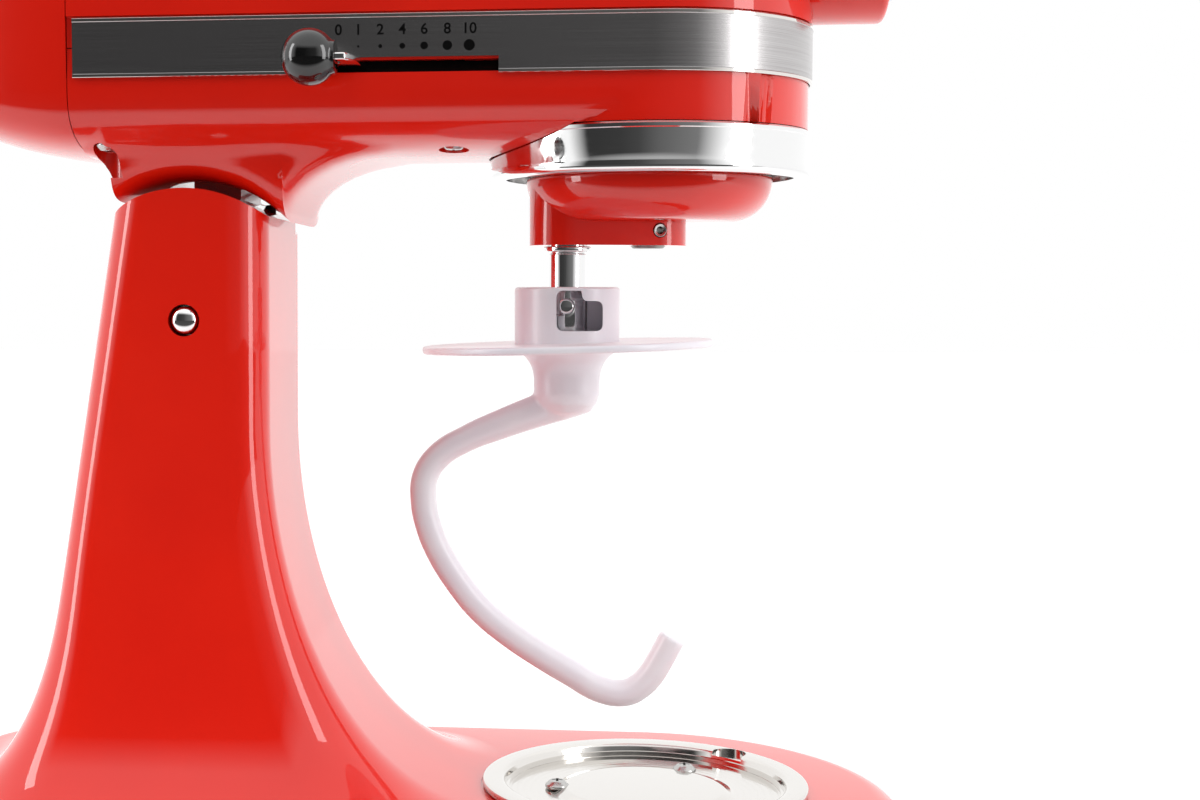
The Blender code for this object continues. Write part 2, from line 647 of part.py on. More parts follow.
def build_upper_housing(material):
    """Upper housing: the dome over motor and gears, with the attachment hub's barrel at its nose."""
    below = JOINT_Z + GAP / 2 - BAND_TOP
    loops = [dome_loop(BODY_HALF_WIDTH, below, -SEAM_BACK), dome_loop(BODY_HALF_WIDTH, GAP, -SEAM_BACK)]
    outer = dome_levels(HEAD_HALF_WIDTH, DOME_HEIGHT, -SEAM_BACK)
    outer[0] = dome_loop(HEAD_HALF_WIDTH, 2 * GAP, -SEAM_BACK)
    piece = skin("upper_housing", loops + outer, material)
    inner = dome_levels(HEAD_HALF_WIDTH - SHELL, DOME_HEIGHT - SHELL, -SEAM_BACK - 1, 5, 10)
    inner.insert(0, dome_loop(BODY_HALF_WIDTH - SHELL, below - 1, -SEAM_BACK - 1, 10))
    hub = [(HUB_RADIUS, 27), (HUB_RADIUS, HUB_FRONT - 2.5), (HUB_RADIUS - 0.8, HUB_FRONT - 0.8)]
    hub.append((HUB_RADIUS - 2.5, HUB_FRONT))
    centre = (0, 0, HUB_Z)
    cut(piece, skin("dome_hollow", inner, material))
    join(piece, turned("hub_form", hub, material, centre, "X", 32))
    cut(
        piece,
        turned("hub_clear", [(HUB_BORE + 3, 5), (HUB_BORE + 3, 38)], material, centre, "X", 20),
        turned("hub_bore", [(HUB_BORE, 35), (HUB_BORE, HUB_FRONT + 1)], material, centre, "X", 20),
        turned("knob_bore", [(4 + GAP, 10), (4 + GAP, 60)], material, KNOB_AXIS, "Y", 16),
        block(
            "cover_hinge_notch",
            (HUB_FRONT - 6, -6 - GAP, HUB_Z + HUB_RADIUS - 6.5),
            (HUB_FRONT + 3, 6 + GAP, HUB_Z + HUB_RADIUS + 8),
            material,
        ),
    )
    for side in (-1, 1):
        low, high = sorted((side * 30, side * 60))
        cut(piece, turned(f"brush_bore_{side}", [(BRUSH_CAP_RADIUS + GAP, low),
            (BRUSH_CAP_RADIUS + GAP, high)], material, BRUSH_AXIS, "Y", 14))
    return piece


def cap_section(progress, shrink=0.0):
    """The rear cap's outline at a share of its length, shrinking to a round end."""
    scale = max(fall(progress, 1.8), 0.06) * (1 - shrink)
    middle = MOTOR_Z - 2
    top = (HEAD_TOP - BAND_TOP) * crown(-SEAM_BACK)
    x = -SEAM_BACK - GAP - (HEAD_REAR - SEAM_BACK - GAP) * progress
    outline = []
    for i in range(13):
        turn = math.pi * i / 12
        y = HEAD_HALF_WIDTH * full_power(math.cos(turn), UPPER_FULLNESS)
        outline.append((y, BAND_TOP + top * full_power(math.sin(turn), UPPER_FULLNESS)))
    for i in range(13):
        turn = math.pi * i / 12
        y, z = trough_point(turn, BODY_HALF_WIDTH, TROUGH_DEPTH)
        outline.append((-y, z))
    return [(x, y * scale, middle + (z - middle) * scale) for y, z in outline]


def build_rear_cap(material):
    """Rear cap: a bullet-shaped cover over the motor's rear end."""
    stations = [0, 0.12, 0.26, 0.42, 0.57, 0.71, 0.83, 0.92, 0.98, 1]
    piece = skin("rear_cap", [cap_section(t) for t in stations], material)
    shrink = SHELL / HEAD_HALF_WIDTH
    inner = [[(x + 5, y, z) for x, y, z in cap_section(t, shrink)] for t in (0, 0.35, 0.65, 0.85)]
    cut(
        piece,
        skin("cap_hollow", inner, material),
        turned("gland_bore", [(6 + GAP, -90), (6 + GAP, 0)], material, GLAND, "X", 20),
        turned("cap_screw_bore", [(2 + GAP, -90), (2 + GAP, 0)], material, CAP_SCREW, "X", 12),
        turned("cap_screw_pocket", [(4.6, -90), (4.6, -78)], material, CAP_SCREW, "X", 16),
    )
    return piece


def build_cap_fittings(screw_material, gland_material):
    """The screw that holds the rear cap, and the rubber gland for the supply cord."""
    screw = turned("rear_cap_screw", [(3.6, -81), (4.2, -80), (4.2, -78 - GAP), (2, -78 - GAP), (2, -58)],
                   screw_material, CAP_SCREW, "X", 12)
    gland = turned("cord_gland", [(3.2, -73), (5.4, -71), (6, -66), (6, -46), (3.2, -46)],
                   gland_material, GLAND, "X", 20, ring=True)
    return [screw, gland]


def build_trim_band(material):
    """Trim band: one strip bent round the sides and nose, notched below for the speed lever."""
    outer, inner = HEAD_HALF_WIDTH + GAP, BODY_HALF_WIDTH + GAP
    rear = -SEAM_BACK + 2
    low, high = BAND_BOTTOM, BAND_TOP - GAP / 2
    outside = [(rear, -outer), (-90, -outer)] + arc(0, 0, outer, -90, 90, 28) + [(-90, outer),
        (rear, outer)]
    inside = [(rear, -inner), (-90, -inner)] + arc(0, 0, inner, -90, 90, 28) + [(-90, inner), (rear, inner)]
    loops = []
    for (ox, oy), (ix, iy) in zip(outside, inside):
        loops.append([(ox, oy, low), (ox, oy, high), (ix, iy, high), (ix, iy, low)])
    piece = skin("trim_band", loops, material)
    notch = block("band_notch", (SLOT_START, -outer - 2, low - 1), (SLOT_END, -inner + 2, LEVER_Z + 2.2),
        material)
    return cut(piece, notch)


def build_drip_ring(material):
    """Drip ring: a turned cup wall round the planetary."""
    inner = RING_RADIUS - RING_WALL
    profile = [
        (RING_RADIUS, RING_TOP), (RING_RADIUS, RING_BOTTOM + 1.6), (RING_RADIUS - 1.6, RING_BOTTOM),
        (inner, RING_BOTTOM), (inner, RING_TOP),
    ]
    return turned("drip_ring", profile, material, steps=40, ring=True)


# ---------------------------------------------------------------- gears


def tooth_outline(teeth, module, phase, inside=False):
    """(height above the pitch circle, angle) along a gear's edge; an internal gear's teeth point inwards."""
    pitch_radius = module * teeth / 2
    sign = -1 if inside else 1
    outline = []
    step = 2 * math.pi / teeth
    corners = [(-1.2, -0.34), (0.9, -0.12), (0.9, 0.12), (-1.2, 0.34)]
    for i in range(teeth):
        for height, share in corners:
            outline.append((sign * height * module, phase + step * (i + share)))
    return pitch_radius, outline


def gear_loop(pitch_radius, outline, z):
    return [((pitch_radius + h) * math.cos(a), (pitch_radius + h) * math.sin(a), z) for h, a in outline]


def spur_gear(name, teeth, module, phase, low, high, bore, place, material, twist=0.0, **options):
    """A gear between two heights, with an optional twist in radians for each millimetre of height."""
    radius, outline = tooth_outline(teeth, module, phase)
    loops = []
    for z in (low, high):
        turn = twist * (z - (low + high) / 2)
        loops.append(gear_loop(radius, [(h, a + turn) for h, a in outline], z))
    gear = skin(name, loops, material, move=Matrix.Translation(place), **options)
    return cut(gear, turned(name + "_bore", [(bore, low - 1), (bore, high + 1)], material, place, steps=16))


def build_internal_gear(material):
    """Fixed internal gear under the gear case, which the beater pinion rolls in."""
    pitch = 2 * math.pi / INTERNAL_TEETH
    radius, outline = tooth_outline(INTERNAL_TEETH, TOOTH, PLANET_TURN + pitch / 2, inside=True)
    outside = RING_RADIUS - RING_WALL - GAP
    low, high = RING_TOP - 11, RING_TOP
    gear = turned("internal_gear", [(outside, low), (outside, high)], material)
    loops = [gear_loop(radius, outline, z) for z in (low - 1, high + 1)]
    return cut(gear, skin("internal_teeth", loops, material))


def bevel_gear(name, teeth, mate_teeth, phase, bore, back, material, move, **options):
    """A bevel gear with its apex at the origin of its own space and its axis down -z."""
    cone = math.atan(teeth / mate_teeth)
    radius, outline = tooth_outline(teeth, BEVEL_TOOTH, phase)
    apex_distance = radius / math.tan(cone)

    def cone_loop(share):
        loop = []
        for height, angle in outline:
            r = (radius + height * math.cos(cone)) * share
            loop.append((r * math.cos(angle), r * math.sin(angle),
                (height * math.sin(cone) - apex_distance) * share))
        return loop

    small = 0.68
    length = (1 - small) * apex_distance
    hub = [(bore + 3, back), (bore + 3, -small * apex_distance + 1)]
    gear = skin(name, [cone_loop(1.0), cone_loop(small)], material, move=move, **options)
    join(gear, turned(name + "_hub", hub, material, steps=16, move=move))
    bored = [(bore, back - 1), (bore, -small * apex_distance + 2 * length)]
    return cut(gear, turned(name + "_bore", bored, material, steps=16, move=move))


# ---------------------------------------------------------------- drive


def build_planetary(body_material, pin_material):
    """Planetary: a round plate with a filleted lower edge and an arm that carries the beater shaft."""
    turn = Matrix.Rotation(PLANET_TURN, 4, "Z")
    depth = PLANETARY_TOP - PLANETARY_BOTTOM
    fillet = [(PLANETARY_RADIUS - depth * (1 - math.sin(a)),
        PLANETARY_TOP - 2 - (depth - 2) * math.cos(a) * 1.0)
              for a in [math.radians(d) for d in (0, 30, 60, 90)]]
    plate = turned("planetary", fillet + [(PLANETARY_RADIUS, PLANETARY_TOP)], body_material, steps=40)
    edge = arc(BEATER_OFFSET, 0, ARM_RADIUS, -90, 90, 8) + arc(0, 0, ARM_RADIUS, 90, 270, 8)
    arm = [[(x, y, z) for x, y in edge] for z in (ARM_BOTTOM, PLANETARY_TOP - 1)]
    join(plate, skin("arm_form", arm, body_material, move=turn))
    beater = (BEATER_X, BEATER_Y, 0)
    pin_at = (0, 0, ROLL_PIN_Z)
    pin_turn = Matrix.Translation(pin_at) @ Matrix.Rotation(PLANET_TURN, 4, "Z")
    reach = ARM_RADIUS + 2
    cut(
        plate,
        turned("shaft_bore", [(CENTRE_SHAFT_RADIUS + GAP, 220), (CENTRE_SHAFT_RADIUS + GAP, 255)],
            body_material, steps=16),
        turned("beater_bore", [(SHAFT_RADIUS + GAP, 220), (SHAFT_RADIUS + GAP, 255)], body_material,
            beater, steps=16),
        turned("roll_pin_bore", [(2.2 + GAP, -reach), (2.2 + GAP, reach)], body_material, (0, 0, 0), "Y",
            10, move=pin_turn),
    )
    wall = ARM_RADIUS + 0.2
    pin = turned("roll_pin", [(1.2, -wall), (2.2, -wall), (2.2, wall), (1.2, wall)], pin_material,
                 (0, 0, 0), "Y", 10, ring=True, move=pin_turn)
    return [plate, pin]


def build_centre_shaft(steel, gear_material):
    """Centre shaft with its spur gear and the bevel gear that drives the hub."""
    pin_turn = Matrix.Translation((0, 0, ROLL_PIN_Z)) @ Matrix.Rotation(PLANET_TURN, 4, "Z")
    shaft = turned("centre_shaft", [(5.2, ARM_BOTTOM - 0.8), (CENTRE_SHAFT_RADIUS, ARM_BOTTOM + 0.2),
                                    (CENTRE_SHAFT_RADIUS, 316)], steel, steps=16)
    cut(shaft, turned("shaft_pin_bore", [(2.2 + GAP, -12), (2.2 + GAP, 12)], steel, (0, 0, 0), "Y", 10,
        move=pin_turn))
    bore = CENTRE_SHAFT_RADIUS + GAP
    spur_phase = math.atan2(DRIVE_Y, DRIVE_X)
    spur = spur_gear("centre_gear", CENTRE_TEETH, DRIVE_TOOTH, spur_phase, 271, 279, bore, (0, 0, 0),
        gear_material)
    move = Matrix.Translation((0, 0, HUB_Z))
    back = -BEVEL_TOOTH * HUB_TEETH / 2 - 2.4
    bevel = bevel_gear("centre_bevel_gear", BEVEL_TEETH, HUB_TEETH, 0, bore, back, gear_material, move)
    return [shaft, spur, bevel]


def build_hub_drive(steel, bush_material):
    """Hub drive gear with the square socket that attachments plug into, and the bush it turns in."""
    move = Matrix.Translation((0, 0, HUB_Z)) @ Matrix.Rotation(math.radians(-90), 4, "Y")
    back = -BEVEL_TOOTH * BEVEL_TEETH / 2 - 1.5
    phase = math.pi + math.pi / HUB_TEETH
    gear = bevel_gear("hub_drive_gear", HUB_TEETH, BEVEL_TEETH, phase, 3, back, steel, move,
        origin=(0, 0, HUB_Z))
    centre = (0, 0, HUB_Z)
    socket = turned("socket_form", [(7, 22.5), (7, 58)], steel, centre, "X", 16)
    square = block("square_socket", (44, -4.4, HUB_Z - 4.4), (60, 4.4, HUB_Z + 4.4), steel)
    join(gear, socket)
    cut(gear, square)
    bush = turned("hub_bush", [(7 + GAP, 41), (HUB_BORE - GAP, 41), (HUB_BORE - GAP, 54), (7 + GAP, 54)],
                  bush_material, centre, "X", 20, ring=True)
    return [gear, bush]


def build_worm_drive(wheel_material, steel):
    """Worm wheel and the vertical drive pinion whose shaft carries it."""
    place = (DRIVE_X, DRIVE_Y, 0)
    phase = math.atan2(-DRIVE_Y, -DRIVE_X) + math.pi / DRIVE_TEETH
    radius, outline = tooth_outline(DRIVE_TEETH, DRIVE_TOOTH, phase)
    loops = [gear_loop(radius, outline, z) for z in (270, 281)]
    pinion = skin("drive_pinion", loops, steel, move=Matrix.Translation(place), origin=place)
    join(pinion, turned("drive_shaft_form", [(4, 265.4), (4, 313)], steel, place, steps=12))
    lead_slope = WORM_TOOTH * WORM_STARTS / 2
    twist = lead_slope / (WORM_PITCH_RADIUS * WHEEL_RADIUS)
    wheel = spur_gear(
        "worm_wheel", WHEEL_TEETH, WORM_TOOTH, -math.pi / 2, MOTOR_Z - 4, MOTOR_Z + 4, 4 + GAP, place,
        wheel_material, twist=twist, origin=place,
    )
    return [pinion, wheel]


def worm_loops(low, high):
    """Loops of a worm on the motor's axis: its radius follows a trapezoid thread along each helix."""
    axial_pitch = math.pi * WORM_TOOTH
    lead = axial_pitch * WORM_STARTS
    around, along = 12, 14
    loops = []
    for i in range(along + 1):
        x = low + (high - low) * i / along
        loop = []
        for j in range(around):
            angle = 2 * math.pi * j / around
            phase = ((x - DRIVE_X - lead * angle / (2 * math.pi)) / axial_pitch - 0.5) % 1
            away = min(phase, 1 - phase)
            share = min(max((0.28 - away) / 0.14, 0), 1)
            radius = WORM_PITCH_RADIUS - 1.2 * WORM_TOOTH + 1.9 * WORM_TOOTH * share
            loop.append(lie("X", (0, 0, MOTOR_Z), radius, angle, x))
        loops.append(loop)
    return loops


def build_motor(steel, copper, laminations, plastic, bearing_steel, bracket_metal):
    """Motor: armature with worm, fan, stator, two bearings in brackets, and the brush caps."""
    centre = (0, 0, MOTOR_Z)
    worm_rear, worm_front = DRIVE_X - 8, DRIVE_X + 6
    armature = skin("armature", worm_loops(worm_rear, worm_front), steel, origin=centre)
    body = [
        (4, -178), (4, -166), (13, -166), (13, -150), (9, -150), (9, -132), (22, -132), (24, -128), (24,
            -84),
        (22, -81), (9, -81), (9, -79), (4, -79), (4, worm_rear + 0.5),
    ]
    join(armature, turned("rotor_form", body, steel, centre, "X", 16))
    fan = turned("cooling_fan", [(4 + GAP, -77), (9, -77), (33, -77), (33, -75.6), (9, -75.6), (9, -69),
        (4 + GAP, -69)],
                 plastic, centre, "X", 20, ring=True, origin=centre)
    for i in range(6):
        spin = Matrix.Translation(centre) @ Matrix.Rotation(2 * math.pi * i / 6, 4, "X")
        join(fan, block(f"fan_blade_{i}", (-76, -0.9, 8.5), (-69, 0.9, 32), plastic, move=spin))
    half, side, corner = 36, 39, 14
    outline = [(side, -half + corner), (side, half - corner), (side - corner, half), (corner - side, half),
               (-side, half - corner), (-side, corner - half), (corner - side, -half), (side - corner,
                   -half)]
    stator = prism("stator", [(y, MOTOR_Z + z) for y, z in outline], -128, -84, laminations, "X")
    cut(stator, turned("stator_bore", [(25.2, -140), (25.2, -70)], laminations, centre, "X", 20))
    pieces = [armature, fan, stator]
    for name, rear in (("front", -61), ("rear", -177)):
        ring = [(4 + GAP, rear), (11, rear), (11, rear + 7), (4 + GAP, rear + 7)]
        pieces.append(turned(f"{name}_bearing", ring, bearing_steel, centre, "X", 16, ring=True))
        foot = GEARCASE_FLOOR + 0.5 if name == "front" else UNDERSIDE + SHELL + 5
        plate = [(42, foot + 8), (42, 318), (28, 336), (-28, 336), (-42, 318), (-42, foot + 8),
            (-34, foot), (34, foot)]
        bracket = prism(f"{name}_bracket", plate, rear + 1.5, rear + 5.5, bracket_metal, "X")
        bore = turned(f"{name}_bracket_bore", [(11 + GAP, rear - 2), (11 + GAP, rear + 9)],
            bracket_metal, centre, "X", 16)
        pieces.append(cut(bracket, bore))
    for i, side in enumerate((-1, 1), 1):
        radius = BRUSH_CAP_RADIUS
        profile = [(radius, 44), (radius, 53), (radius - 0.8, 54.6), (1.5, 54.6)]
        if side < 0:
            profile = [(radius, -height) for radius, height in profile]
        cap = turned(f"brush_cap_{i}", profile, plastic, BRUSH_AXIS, "Y", 14)
        slot = block(f"brush_slot_{i}", (BRUSH_AXIS[0] - 4, side * 54 - 0.8, BRUSH_AXIS[2] - 0.8),
                     (BRUSH_AXIS[0] + 4, side * 54 + 0.8, BRUSH_AXIS[2] + 0.8), plastic)
        pieces.append(cut(cap, slot))
    return pieces


# ---------------------------------------------------------------- beater shaft and dough hook


def build_beater_drive(steel, gear_material):
    """Beater shaft with its pinion, cross pin and washer."""
    place = (BEATER_X, BEATER_Y, 0)
    origin = (BEATER_X, BEATER_Y, CROSS_PIN_Z)
    profile = [(SHAFT_RADIUS - 1, SHAFT_BOTTOM), (SHAFT_RADIUS, SHAFT_BOTTOM + 1), (SHAFT_RADIUS, 249.5),
               (5, 249.5), (5, RING_TOP - 1)]
    shaft = turned("beater_shaft", profile, steel, place, steps=16, origin=origin)
    pin_bore = turned("cross_pin_bore", [(CROSS_PIN_RADIUS + 0.1, -9), (CROSS_PIN_RADIUS + 0.1, 9)], steel,
                      (BEATER_X, BEATER_Y, CROSS_PIN_Z), "Y", 12)
    cut(shaft, pin_bore)
    pin = turned("cross_pin", [(1.8, -CROSS_PIN_REACH), (CROSS_PIN_RADIUS, -CROSS_PIN_REACH + 0.8),
                               (CROSS_PIN_RADIUS, CROSS_PIN_REACH - 0.8), (1.8, CROSS_PIN_REACH)], steel,
                 (BEATER_X, BEATER_Y, CROSS_PIN_Z), "Y", 12, origin=origin)
    pinion = spur_gear("beater_pinion", BEATER_TEETH, TOOTH, PLANET_TURN, RING_TOP - 10.5,
        RING_TOP - 1.5, 5 + GAP,
                       place, gear_material, origin=origin)
    washer = turned("shaft_washer", [(SHAFT_RADIUS + GAP, 223), (8, 223), (8, ARM_BOTTOM - GAP),
                                     (SHAFT_RADIUS + GAP,
                                         ARM_BOTTOM - GAP)], steel, place, steps=16, ring=True,
                    origin=origin)
    return [shaft, pin, pinion, washer]


def smooth_route(points, steps):
    """Points on a Catmull-Rom curve through a route."""
    padded = [points[0]] + points + [points[-1]]
    route = []
    for i in range(1, len(padded) - 2):
        before, start, end, after = padded[i - 1 : i + 3]
        for k in range(steps):
            t = k / steps
            route.append(tuple(
                0.5 * (2 * b + (c - a) * t + (2 * a - 5 * b + 4 * c - d) * t * t + (3 * b - a - 3 * c + d) * t**3)
                for a, b, c, d in zip(before, start, end, after)
            ))
    return route + [points[-1]]


def build_dough_hook(material):
    """Dough hook: a socket collar with a bayonet window, a dough guard disc and a C-shaped hook."""
    place = (BEATER_X, BEATER_Y, 0)
    origin = (BEATER_X, BEATER_Y, CROSS_PIN_Z)
    collar = [(COLLAR_RADIUS, COLLAR_BOTTOM - 1), (COLLAR_RADIUS, COLLAR_TOP - 0.8),
        (COLLAR_RADIUS - 0.8, COLLAR_TOP)]
    hook = turned("dough_hook", collar, material, place, steps=24, origin=origin)
    lean = Matrix.Translation((BEATER_X, BEATER_Y, COLLAR_BOTTOM)) @ Matrix.Rotation(
        math.radians(-DISC_TILT_DEGREES), 4, "Y")
    half = DISC_THICKNESS / 2
    disc = [(DISC_RADIUS - 0.8, -half), (DISC_RADIUS, 0), (DISC_RADIUS - 0.8, half)]
    stem = [(STEM_RADIUS - 1.6, 167.5), (STEM_RADIUS, 171), (STEM_RADIUS, 177)]
    stem += [(STEM_RADIUS + 9 * (1 - math.cos(a)), 177 + 12.6 * math.sin(a)) for a in (0.5, 1.0, 1.5)]
    route = smooth_route(HOOK_ROUTE, 2)
    tube = []
    for i, (x, z) in enumerate(route):
        ahead, behind = route[min(i + 1, len(route) - 1)], route[max(i - 1, 0)]
        tangent = Vector((ahead[0] - behind[0], 0, ahead[1] - behind[1])).normalized()
        across = Vector((-tangent.z, 0, tangent.x))
        radius = HOOK_RADIUS * (1 + 0.5 * max(0, 1 - i / 4))
        centre = Vector((BEATER_X + x, BEATER_Y, z))
        turns = [2 * math.pi * k / 10 for k in range(10)]
        tube.append([tuple(centre + across * radius * math.cos(a) + Vector((0, radius * math.sin(a), 0)))
                     for a in turns])
    join(
        hook,
        turned("disc_form", disc, material, steps=40, move=lean),
        turned("stem_form", stem, material, place, steps=20),
        skin("hook_form", tube, material),
    )
    bore = SHAFT_RADIUS + GAP
    slot = CROSS_PIN_RADIUS + 0.6
    reach = CROSS_PIN_REACH + 0.8
    cut(
        hook,
        turned("hook_bore", [(bore, SHAFT_BOTTOM - 1), (bore, COLLAR_TOP + 1)], material, place, steps=16),
        block("pin_entry", (BEATER_X - slot - 9, BEATER_Y - reach, CROSS_PIN_Z - slot),
              (BEATER_X - slot + 1, BEATER_Y + reach, COLLAR_TOP + 1), material),
        block("bayonet_window", (BEATER_X - slot, BEATER_Y - COLLAR_RADIUS - 1, CROSS_PIN_Z - 8.6),
              (BEATER_X + 12.2, BEATER_Y, CROSS_PIN_Z + slot), material),
        block("bayonet_relief", (BEATER_X - slot - 1, BEATER_Y - 1, CROSS_PIN_Z - slot),
              (BEATER_X + slot, BEATER_Y + reach, CROSS_PIN_Z + slot), material),
    )
    return hook


# ---------------------------------------------------------------- controls on the head


def build_speed_control(arm_material, knob_material):
    """Speed lever: flat arm through the slot, ball knob outside and link to the governor inside."""
    origin = (SLOT_START + 5, -HEAD_HALF_WIDTH, LEVER_Z)
    left = SLOT_START + 1
    width = SLOT_END - SLOT_START - LEVER_TRAVEL - 2
    low, high = LEVER_Z - 1.1, LEVER_Z + 1.1
    wall = BODY_HALF_WIDTH - SHELL
    knob_y = -HEAD_HALF_WIDTH - 19
    flat_x = left - 6.2 + 8.2 + GAP
    outline = [
        (left, -wall + 3.6), (left, knob_y + 12), (flat_x, knob_y + 7), (flat_x,
            knob_y + 2.4), (left - 6, knob_y + 2.4),
        (left - 6, knob_y - 2.4), (flat_x + 3, knob_y - 2.4), (left + width, knob_y + 3), (left + width,
            -wall + 3.6),
    ]
    arm = prism("speed_lever", outline, low, high, arm_material, "Z", origin=origin)
    centre = (left - 6.2, knob_y, LEVER_Z)
    ball = 8.8
    profile = [(ball * math.sin(math.radians(a)), -ball * math.cos(math.radians(a))) for a in range(15,
        136, 20)]
    profile += [(5.1, 7.2), (5.1, 8.2)]
    knob = turned("speed_knob", profile, knob_material, centre, "X", 20, origin=origin)
    pocket = [(x, y) for x, y in ((left - 6 - GAP, knob_y - 2.7), (left + 4, knob_y - 2.7),
        (left + 4, knob_y + 2.7),
                                  (left - 6 - GAP, knob_y + 2.7))]
    cut(knob, prism("arm_pocket", pocket, low - GAP, high + GAP, knob_material, "Z"))
    link_y = -wall + 3.6 + GAP
    link = block(
        "speed_link", (-168, link_y, LEVER_Z - 3), (SLOT_END + 2, link_y + 1.6, LEVER_Z + 5), arm_material,
        origin=origin,
    )
    return [arm, knob, link]


def build_hub_cover(material):
    """Round cover over the hub's socket, hung from an ear at its top."""
    hinge_z = HUB_Z + HUB_RADIUS - 2.2
    origin = (HUB_FRONT + 1.6, 0, hinge_z)
    radius = HUB_BORE + 3.2
    profile = [(radius - 1, HUB_FRONT + GAP), (radius, HUB_FRONT + 1), (radius, HUB_FRONT + 2),
        (radius - 2, HUB_FRONT + 3.2)]
    cover = turned("hub_cover", profile, material, (0, 0, HUB_Z), "X", 28, origin=origin)
    ear = block("ear_form", (HUB_FRONT + GAP, -5, HUB_Z + radius - 3), (HUB_FRONT + 2.8, 5, hinge_z + 2),
        material)
    return join(cover, ear)


def build_attachment_knob(material):
    """Screw knob on the far side of the hub that clamps an attachment."""
    x, y, z = KNOB_AXIS
    origin = (x, HUB_RADIUS, z)
    profile = [(4, HUB_BORE + 1), (4, HUB_RADIUS + 4), (7, HUB_RADIUS + 4), (12, HUB_RADIUS + 7),
        (12, HUB_RADIUS + 19),
               (10, HUB_RADIUS + 21)]
    knob = turned("attachment_knob", profile, material, KNOB_AXIS, "Y", 18, origin=origin)
    for i in range(6):
        turn = 2 * math.pi * i / 6
        centre = (x + 13.6 * math.cos(turn), 0, z + 13.6 * math.sin(turn))
        flute = turned(f"flute_{i}", [(3, HUB_RADIUS + 5), (3, HUB_RADIUS + 24)], material, centre, "Y", 8)
        cut(knob, flute)
    return knob


# ---------------------------------------------------------------- assembly


def pivot(name, position, parent=None):
    """An empty on a joint's axis, for the pieces that move with it."""
    empty = bpy.data.objects.new(name, None)
    empty.location = Vector(((position[0] + SHIFT_X) * MM, position[1] * MM, position[2] * MM))
    bpy.context.scene.collection.objects.link(empty)
    if parent:
        hold(parent, [empty])
    return empty


def hold(parent, pieces):
    """Parents pieces without moving them."""
    bpy.context.view_layer.update()
    for piece in pieces:
        piece.parent = parent
        piece.matrix_parent_inverse = parent.matrix_world.inverted()


def main():
    for leftover in list(bpy.data.objects):
        bpy.data.objects.remove(leftover)

    enamel = paint("red_enamel", (0.62, 0.012, 0.008), 0, 0.12)
    chrome = paint("chrome", (0.8, 0.8, 0.8), 1, 0.05)
    brushed = paint("brushed_steel", (0.5, 0.5, 0.5), 1, 0.3)
    steel = paint("steel", (0.55, 0.55, 0.56), 1, 0.25)
    rubber = paint("rubber", (0.03, 0.03, 0.03), 0, 0.8)
    black = paint("black_plastic", (0.01, 0.01, 0.01), 0, 0.08)
    white = paint("white_coating", (0.85, 0.84, 0.88), 0, 0.3)
    nylon = paint("nylon", (0.8, 0.75, 0.6), 0, 0.5)
    bronze = paint("bronze", (0.5, 0.33, 0.12), 1, 0.35)
    iron = paint("laminations", (0.15, 0.15, 0.16), 1, 0.5)
    alloy = paint("cast_alloy", (0.6, 0.6, 0.6), 1, 0.45)

    build_pedestal(enamel)
    build_base_pan(enamel)
    build_feet(rubber)
    build_pedestal_screws(steel)
    build_clamp_plate(chrome)
    build_clamp_screws(steel)
    build_hinge_pin(chrome)
    build_set_screw(steel)
    build_height_screw(steel)

    head = pivot("head_pivot", (-PIVOT_BACK, 0, PIVOT_Z))
    fixed = [build_lower_housing(enamel), build_upper_housing(enamel), build_rear_cap(enamel)]
    fixed += [build_trim_band(brushed), build_drip_ring(chrome), build_internal_gear(steel)]
    fixed += build_housing_screws(steel) + build_cap_fittings(steel, rubber)
    motor = build_motor(steel, bronze, iron, black, steel, alloy)
    fixed += motor[2:]
    gear, bush = build_hub_drive(steel, bronze)
    hold(head, fixed + [bush])

    hold(pivot("rotor_axis", (0, 0, MOTOR_Z), head), motor[:2])
    hold(pivot("hub_axis", (0, 0, HUB_Z), head), [gear])
    hold(pivot("drive_axis", (DRIVE_X, DRIVE_Y, 0), head), build_worm_drive(nylon, steel))
    hold(pivot("lock_axis", LATCH_AXIS, head), build_lock(steel, black))
    hold(head, build_speed_control(chrome, black) + [build_hub_cover(chrome), build_attachment_knob(black)])

    planet = pivot("planetary_axis", (0, 0, PLANETARY_TOP), head)
    hold(planet, build_planetary(enamel, steel) + build_centre_shaft(steel, steel))
    beater = pivot("beater_axis", (BEATER_X, BEATER_Y, CROSS_PIN_Z), planet)
    hold(beater, build_beater_drive(chrome, steel) + [build_dough_hook(white)])


main()
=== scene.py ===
import json
import math

import bmesh
import bpy
from mathutils import Matrix, Vector


